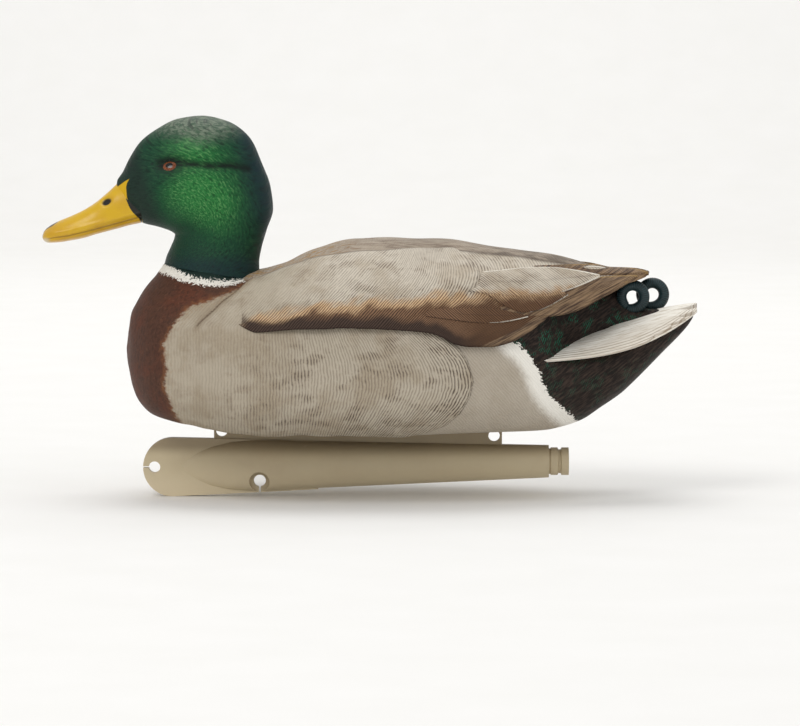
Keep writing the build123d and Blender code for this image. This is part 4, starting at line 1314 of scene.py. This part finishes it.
class DECOY_OT_head(bpy.types.Operator):
    """Build the head's skin with its brow, cheeks and flow of strokes, and the eyes"""
    bl_idname = "decoy.head"
    bl_label = "Head"

    def execute(self, context):
        sizes, paint = context.scene.decoy_sizes, context.scene.decoy_paint
        head = ring_form("head_skin", sizes.head_rings, sizes.head_turns)
        start, angle = rings_of(head)
        steps = sizes.head_rings
        share = np.clip((start * steps - 1) / (steps - 1), 0, 1)
        points = head_surface(share, angle)
        foot = start < 0.5 / steps
        points[foot] = (SEAT_X, 0, SEAT_Z + 0.3)
        place(head, points)
        outward(head)
        swell(head, head_relief(points) * (share > 0.12))
        along, height = side_view(points)
        round_x, round_z, across = points[:, 0] - SWIRL_X, points[:, 2] - SWIRL_Z, np.abs(points[:, 1])
        mark_flow(head, np.arctan2(round_z, round_x) * SWIRL_R, np.hypot(round_x, round_z) + 0.6 * across)
        # Painted sheen on the brow, cheek, neck and lores.
        mark(head, "painted_sheen", sum(strength * patch(along, height, *oval) for strength, *oval in SHEEN_PATCHES))
        # Where the nape, crown and face are darker or paler, by place in side view.
        back_of_head = ease(along + 0.22 * (height - 180.0), -80.0, -64.0)
        mark(head, "nape", np.maximum(back_of_head, 0.8 * ease(-height, -150.0, -140.0)))
        mark(head, "crown", ease(height - 0.3 * np.abs(along + 104.0), 208.0, 224.0))
        mark(head, "face", ease(-along + 0.3 * (205.0 - height), 134.0, 146.0))
        # Where painted shade darkens the brow furrow and the hollow round the eye.
        furrow = hump(from_border(BROW_FURROW, along, height), 2.2)
        furrow = np.minimum(furrow + patch(along, height, EYE_AT, (8.5, 5.0)), 1.0)
        mark(head, "furrow", furrow * ease(across, 8.0, 14.0))
        beak = -from_border(BEAK_BORDER, along, height)
        corner = np.minimum(beak, BEAK_CORNER_X - along)
        mark(head, "beak", np.where(height > BEAK_CORNER_Z, corner, beak))
        settle(head, HEAD, head_finish(paint), "painted_head", "head_shell")
        spot, out = eye_spot(points_of(head), read(head, "normal"))
        gloss = eye_finish(paint)
        for side, word in SIDES:
            mirror = np.array([1, -side, 1])
            piece = eye(f"eye_dome_{word}", spot * mirror, out * mirror)
            settle(piece, HEAD, gloss, "eye_plastic", f"eye_{word}")
        return {"FINISHED"}


# ---- Bill ----
NOSTRIL_DEPTH, RIM_LIFT, GAPE_DEPTH, RIDGE_LIFT = 1.3, 0.75, 0.7, 0.45
NAIL_X, NAIL_R = -199.0, 9.0


class DECOY_OT_bill(bpy.types.Operator):
    """Build the bill with its nostrils, gape line and nail"""
    bl_idname = "decoy.bill"
    bl_label = "Bill"

    def execute(self, context):
        sizes, paint = context.scene.decoy_sizes, context.scene.decoy_paint
        bill = ring_form("bill_skin", sizes.bill_rings, sizes.bill_turns)
        share, angle = rings_of(bill)
        x = along_table(BILL, share ** 1.35)
        low, high = (c(x) for c in columns(BILL)[:2])
        across, up = squared_ring(angle, 2.3)
        middle = low + 0.34 * (high - low)
        z = middle + np.where(up >= 0, high - middle, middle - low) * up
        closing = np.where(share > 0.999, 0, 1)
        y = swelling(BILL, 3)(x) * across * (1 - 0.12 * np.maximum(up, 0)) * closing
        z = np.where(closing > 0, z, middle)
        points = np.stack([x, y, z], 1)
        place(bill, points)
        outward(bill)
        along, height = side_view(points)
        beside = ease(np.abs(points[:, 1]), 3.0, 6.5)
        gape = from_border(GAPE_LINE, along, height)
        pit = patch(along, height, NOSTRIL_AT, (5.4, 3.5), NOSTRIL_TURN)
        rim = patch(along, height, (-161.4, 179.7), (8.2, 4.8), NOSTRIL_TURN)
        ridge = hump(gape + 3.4, 1.2)
        raised = RIM_LIFT * rim + RIDGE_LIFT * ridge
        relief = raised - NOSTRIL_DEPTH * ease(pit, 0.45, 0.9) - GAPE_DEPTH * hump(gape, 0.7)
        swell(bill, relief * beside * ease(along, -199.0, -195.0))
        mark(bill, "gape", -gape)
        mark(bill, "nostril", pit * beside)
        from_tip = np.hypot(along - NAIL_X, 1.3 * points[:, 1])
        mark(bill, "nail", NAIL_R - from_tip - 4.5 * ease(166.0 - height, 0.0, 4.0))
        mark(bill, "tip", patch(along, height, (-199.0, 156.0), (4.0, 3.0)))
        mark(bill, "root", along - smooth(BILL_REAR)(height) + 0.6)
        settle(bill, HEAD, bill_finish(paint), "painted_bill", "bill")
        return {"FINISHED"}


# ---- Parts that keep the frame's shape ----
def refinish(node, finish):
    """Gives a part of the frame its finish, keeping its shape."""
    mesh = NODES[node].data
    mesh.materials.clear()
    mesh.materials.append(finish)


class DECOY_OT_fittings(bpy.types.Operator):
    """Give the keel, the swivel's parts and the screws their finishes"""
    bl_idname = "decoy.fittings"
    bl_label = "Keel and Fittings"

    def execute(self, context):
        paint = context.scene.decoy_paint
        tan = keel_finish(paint)
        nylon = plain_part_finish("black_nylon", "0d0d0f", "1e1e21", 0.42)
        finishes = {
            "keel_shell": tan,
            "keel_end_plug": tan,
            "keel_ballast": plain_part_finish("iron_sand", "2b2826", "4a4441", 0.85),
            "keel_screws": plain_part_finish("zinc_steel", "9a9da1", "6c6e72", 0.34, 1.0),
            "neck_socket": nylon,
            "neck_plug": nylon,
            "neck_clip": plain_part_finish("spring_steel", "8b8d92", "5a5c60", 0.3, 1.0),
            "neck_seal": plain_part_finish("seal_rubber", "0a0a0a", "191919", 0.7),
        }
        for node, finish in finishes.items():
            refinish(node, finish)
        return {"FINISHED"}


# ---- Stage ----
def soft_light(name, at, towards, size, power):
    """A round area light of that diameter in metres and power in watts."""
    data = bpy.data.lights.new(name, "AREA")
    data.shape, data.size, data.energy = "DISK", size, power
    lamp = bpy.data.objects.new(name, data)
    lamp.location = at
    lamp.rotation_mode = "QUATERNION"
    lamp.rotation_quaternion = (Vector(towards) - Vector(at)).to_track_quat("-Z", "Y")
    bpy.context.scene.collection.objects.link(lamp)


def backdrop():
    """A pale floor that curves up behind the decoy."""
    form = bmesh.new()
    half_width, height, radius, front, rear, steps = 8, 8, 1.2, -6.0, 3.0, 12
    line = [(0, front, FOOT), (0, rear, FOOT)]
    for step in range(1, steps + 1):
        angle = math.pi / 2 * step / steps
        line.append((0, rear + radius * math.sin(angle), FOOT + radius * (1 - math.cos(angle))))
    line = [form.verts.new(spot) for spot in line + [(0, rear + radius, FOOT + height)]]
    edges = [form.edges.new(pair) for pair in zip(line, line[1:])]
    bmesh.ops.translate(form, vec=(-half_width, 0, 0), verts=form.verts)
    made = bmesh.ops.extrude_edge_only(form, edges=edges)
    moved = [g for g in made["geom"] if isinstance(g, bmesh.types.BMVert)]
    bmesh.ops.translate(form, vec=(2 * half_width, 0, 0), verts=moved)
    bmesh.ops.recalc_face_normals(form, faces=form.faces)
    piece = to_object(form, "floor")
    f = Finish("studio_floor", 0.9, 0.2)
    grain = f.noise(f.spot(), 60, 2, 0.5)
    f.set("Base Color", f.blend(grain, "f2f1ee", "f6f5f3"))
    piece.data.materials.append(f.material)


class DECOY_OT_stage(bpy.types.Operator):
    """Set up the pale floor, the soft lights and the camera"""
    bl_idname = "decoy.stage"
    bl_label = "Stage"

    def execute(self, context):
        scene, stage = context.scene, context.scene.decoy_stage
        backdrop()
        middle = (0, 0, 0.05)
        soft_light("key_light", (-1.3, -2.2, 2.4), middle, 1.6, stage.key_power)
        soft_light("fill_light", (2.2, -2.0, 1.2), middle, 2.0, stage.fill_power)
        soft_light("top_light", (0.1, 0.6, 2.6), middle, 1.8, stage.top_power)
        soft_light("back_light", (0, 2.4, 2.4), (0, 3.4, 0), 2.4, stage.back_power)
        world = bpy.data.worlds.new("studio")
        world.use_nodes = True
        surround = world.node_tree.nodes["Background"]
        surround.inputs["Color"].default_value = painted("ffffff")
        surround.inputs["Strength"].default_value = stage.surround
        scene.world = world
        scene.view_settings.view_transform = "Standard"
        data = bpy.data.cameras.new("camera")
        data.lens, data.sensor_width = stage.lens, 36.0
        data.clip_start, data.clip_end = 0.05, 60
        camera = bpy.data.objects.new("camera", data)
        aim = Vector((stage.aim_along, 0, FOOT + stage.aim_height))
        tilt = stage.elevation
        distance = stage.view_width * stage.lens / data.sensor_width
        back = Vector((0, -math.cos(tilt), math.sin(tilt)))
        camera.location = aim + back * distance
        camera.rotation_mode = "QUATERNION"
        camera.rotation_quaternion = (-back).to_track_quat("-Z", "Y")
        scene.collection.objects.link(camera)
        scene.camera = camera
        return {"FINISHED"}


# ---- Settings ----
class DecoyPaint(bpy.types.PropertyGroup):
    """Colours of the paint"""
    flank: colour("Flank", "Pale warm grey of the flanks and scapulars", "cbc1b1")
    belly: colour("Belly", "Whitish grey of the rear belly", "b6ac9d")
    collar: colour("Collar", "White of the neck ring and the rump's edge", "efebe2")
    chestnut: colour("Chestnut", "Dark chestnut of the breast", "4f3327")
    rust: colour("Rust", "Orange brown of the breast's ragged edge", "8a5a38")
    teal: colour("Teal", "Barbs on the black rump", "1b6a52")
    dark_green: colour("Dark green", "Base green of the head", "12452a")
    bright_green: colour("Bright green", "Shining green of the brow and cheek", "267236")
    fleck: colour("Fleck", "Pale strokes on the cheek", "7cae70")
    bill: colour("Bill", "Yellow of the bill", "d4aa17")
    iris: colour("Iris", "Brown of the eye", "8c4c28")
    keel: colour("Keel", "Tan plastic of the keel", "c8b999")


class DecoySizes(bpy.types.PropertyGroup):
    """Fineness of the modelled skins"""
    torso_rings: count("Torso rings", "Rings along the torso", 280, 60)
    torso_turns: count("Torso turns", "Faces round the torso", 220, 60)
    mantle_rings: count("Mantle rings", "Rings along the wing mantle", 240, 60)
    mantle_turns: count("Mantle turns", "Faces round the wing mantle", 240, 60)
    head_rings: count("Head rings", "Rings from the neck to the face", 220, 40)
    head_turns: count("Head turns", "Faces round the head", 160, 40)
    bill_rings: count("Bill rings", "Rings along the bill", 150, 30)
    bill_turns: count("Bill turns", "Faces round the bill", 120, 30)


class DecoyStage(bpy.types.PropertyGroup):
    """Camera and lights"""
    lens: FloatProperty(name="Lens", description="Focal length", default=200.0, min=20, unit="CAMERA")
    view_width: length("View width", "Width seen at the decoy", 0.4901)
    elevation: FloatProperty(
        name="Elevation", description="How far the camera looks down", default=math.radians(4.3),
        subtype="ANGLE", unit="ROTATION",
    )
    aim_along: FloatProperty(
        name="Aim along", description="Place along the decoy that the camera looks at", default=0.0181,
        unit="LENGTH", subtype="DISTANCE",
    )
    aim_height: length("Aim height", "Height above the keel's foot that the camera looks at", 0.0818)
    key_power: power("Key", "Power of the key light", 34.0)
    fill_power: power("Fill", "Power of the fill light", 8.0)
    top_power: power("Top", "Power of the top light", 20.0)
    back_power: power("Back", "Power of the light on the backdrop", 22.0)
    surround: FloatProperty(
        name="Surround", description="Strength of the white surround", default=0.58, min=0
    )


class DECOY_PT_panel(bpy.types.Panel):
    """Lists the decoy's pieces and settings"""
    bl_idname = "DECOY_PT_panel"
    bl_label = "Floating Drake Decoy"
    bl_space_type = "VIEW_3D"
    bl_region_type = "UI"
    bl_category = "Decoy"

    def draw(self, context):
        layout = self.layout
        for group in (context.scene.decoy_sizes, context.scene.decoy_paint, context.scene.decoy_stage):
            box = layout.box()
            for name in group.__annotations__:
                box.prop(group, name)
        for step in STEPS:
            layout.operator(f"decoy.{step}")


STEPS = ("torso", "wings", "tail", "head", "bill", "fittings", "stage")
GROUPS = {"decoy_paint": DecoyPaint, "decoy_sizes": DecoySizes, "decoy_stage": DecoyStage}
CLASSES = (
    DecoyPaint, DecoySizes, DecoyStage, DECOY_OT_torso, DECOY_OT_wings, DECOY_OT_tail, DECOY_OT_head,
    DECOY_OT_bill, DECOY_OT_fittings, DECOY_OT_stage, DECOY_PT_panel,
)


def register():
    for item in CLASSES:
        bpy.utils.register_class(item)
    for name, group in GROUPS.items():
        setattr(bpy.types.Scene, name, PointerProperty(type=group))


def unregister():
    for name in GROUPS:
        delattr(bpy.types.Scene, name)
    for item in reversed(CLASSES):
        bpy.utils.unregister_class(item)


def main():
    register()
    for step in STEPS:
        getattr(bpy.ops.decoy, step)()


if __name__ == "__main__":
    main()
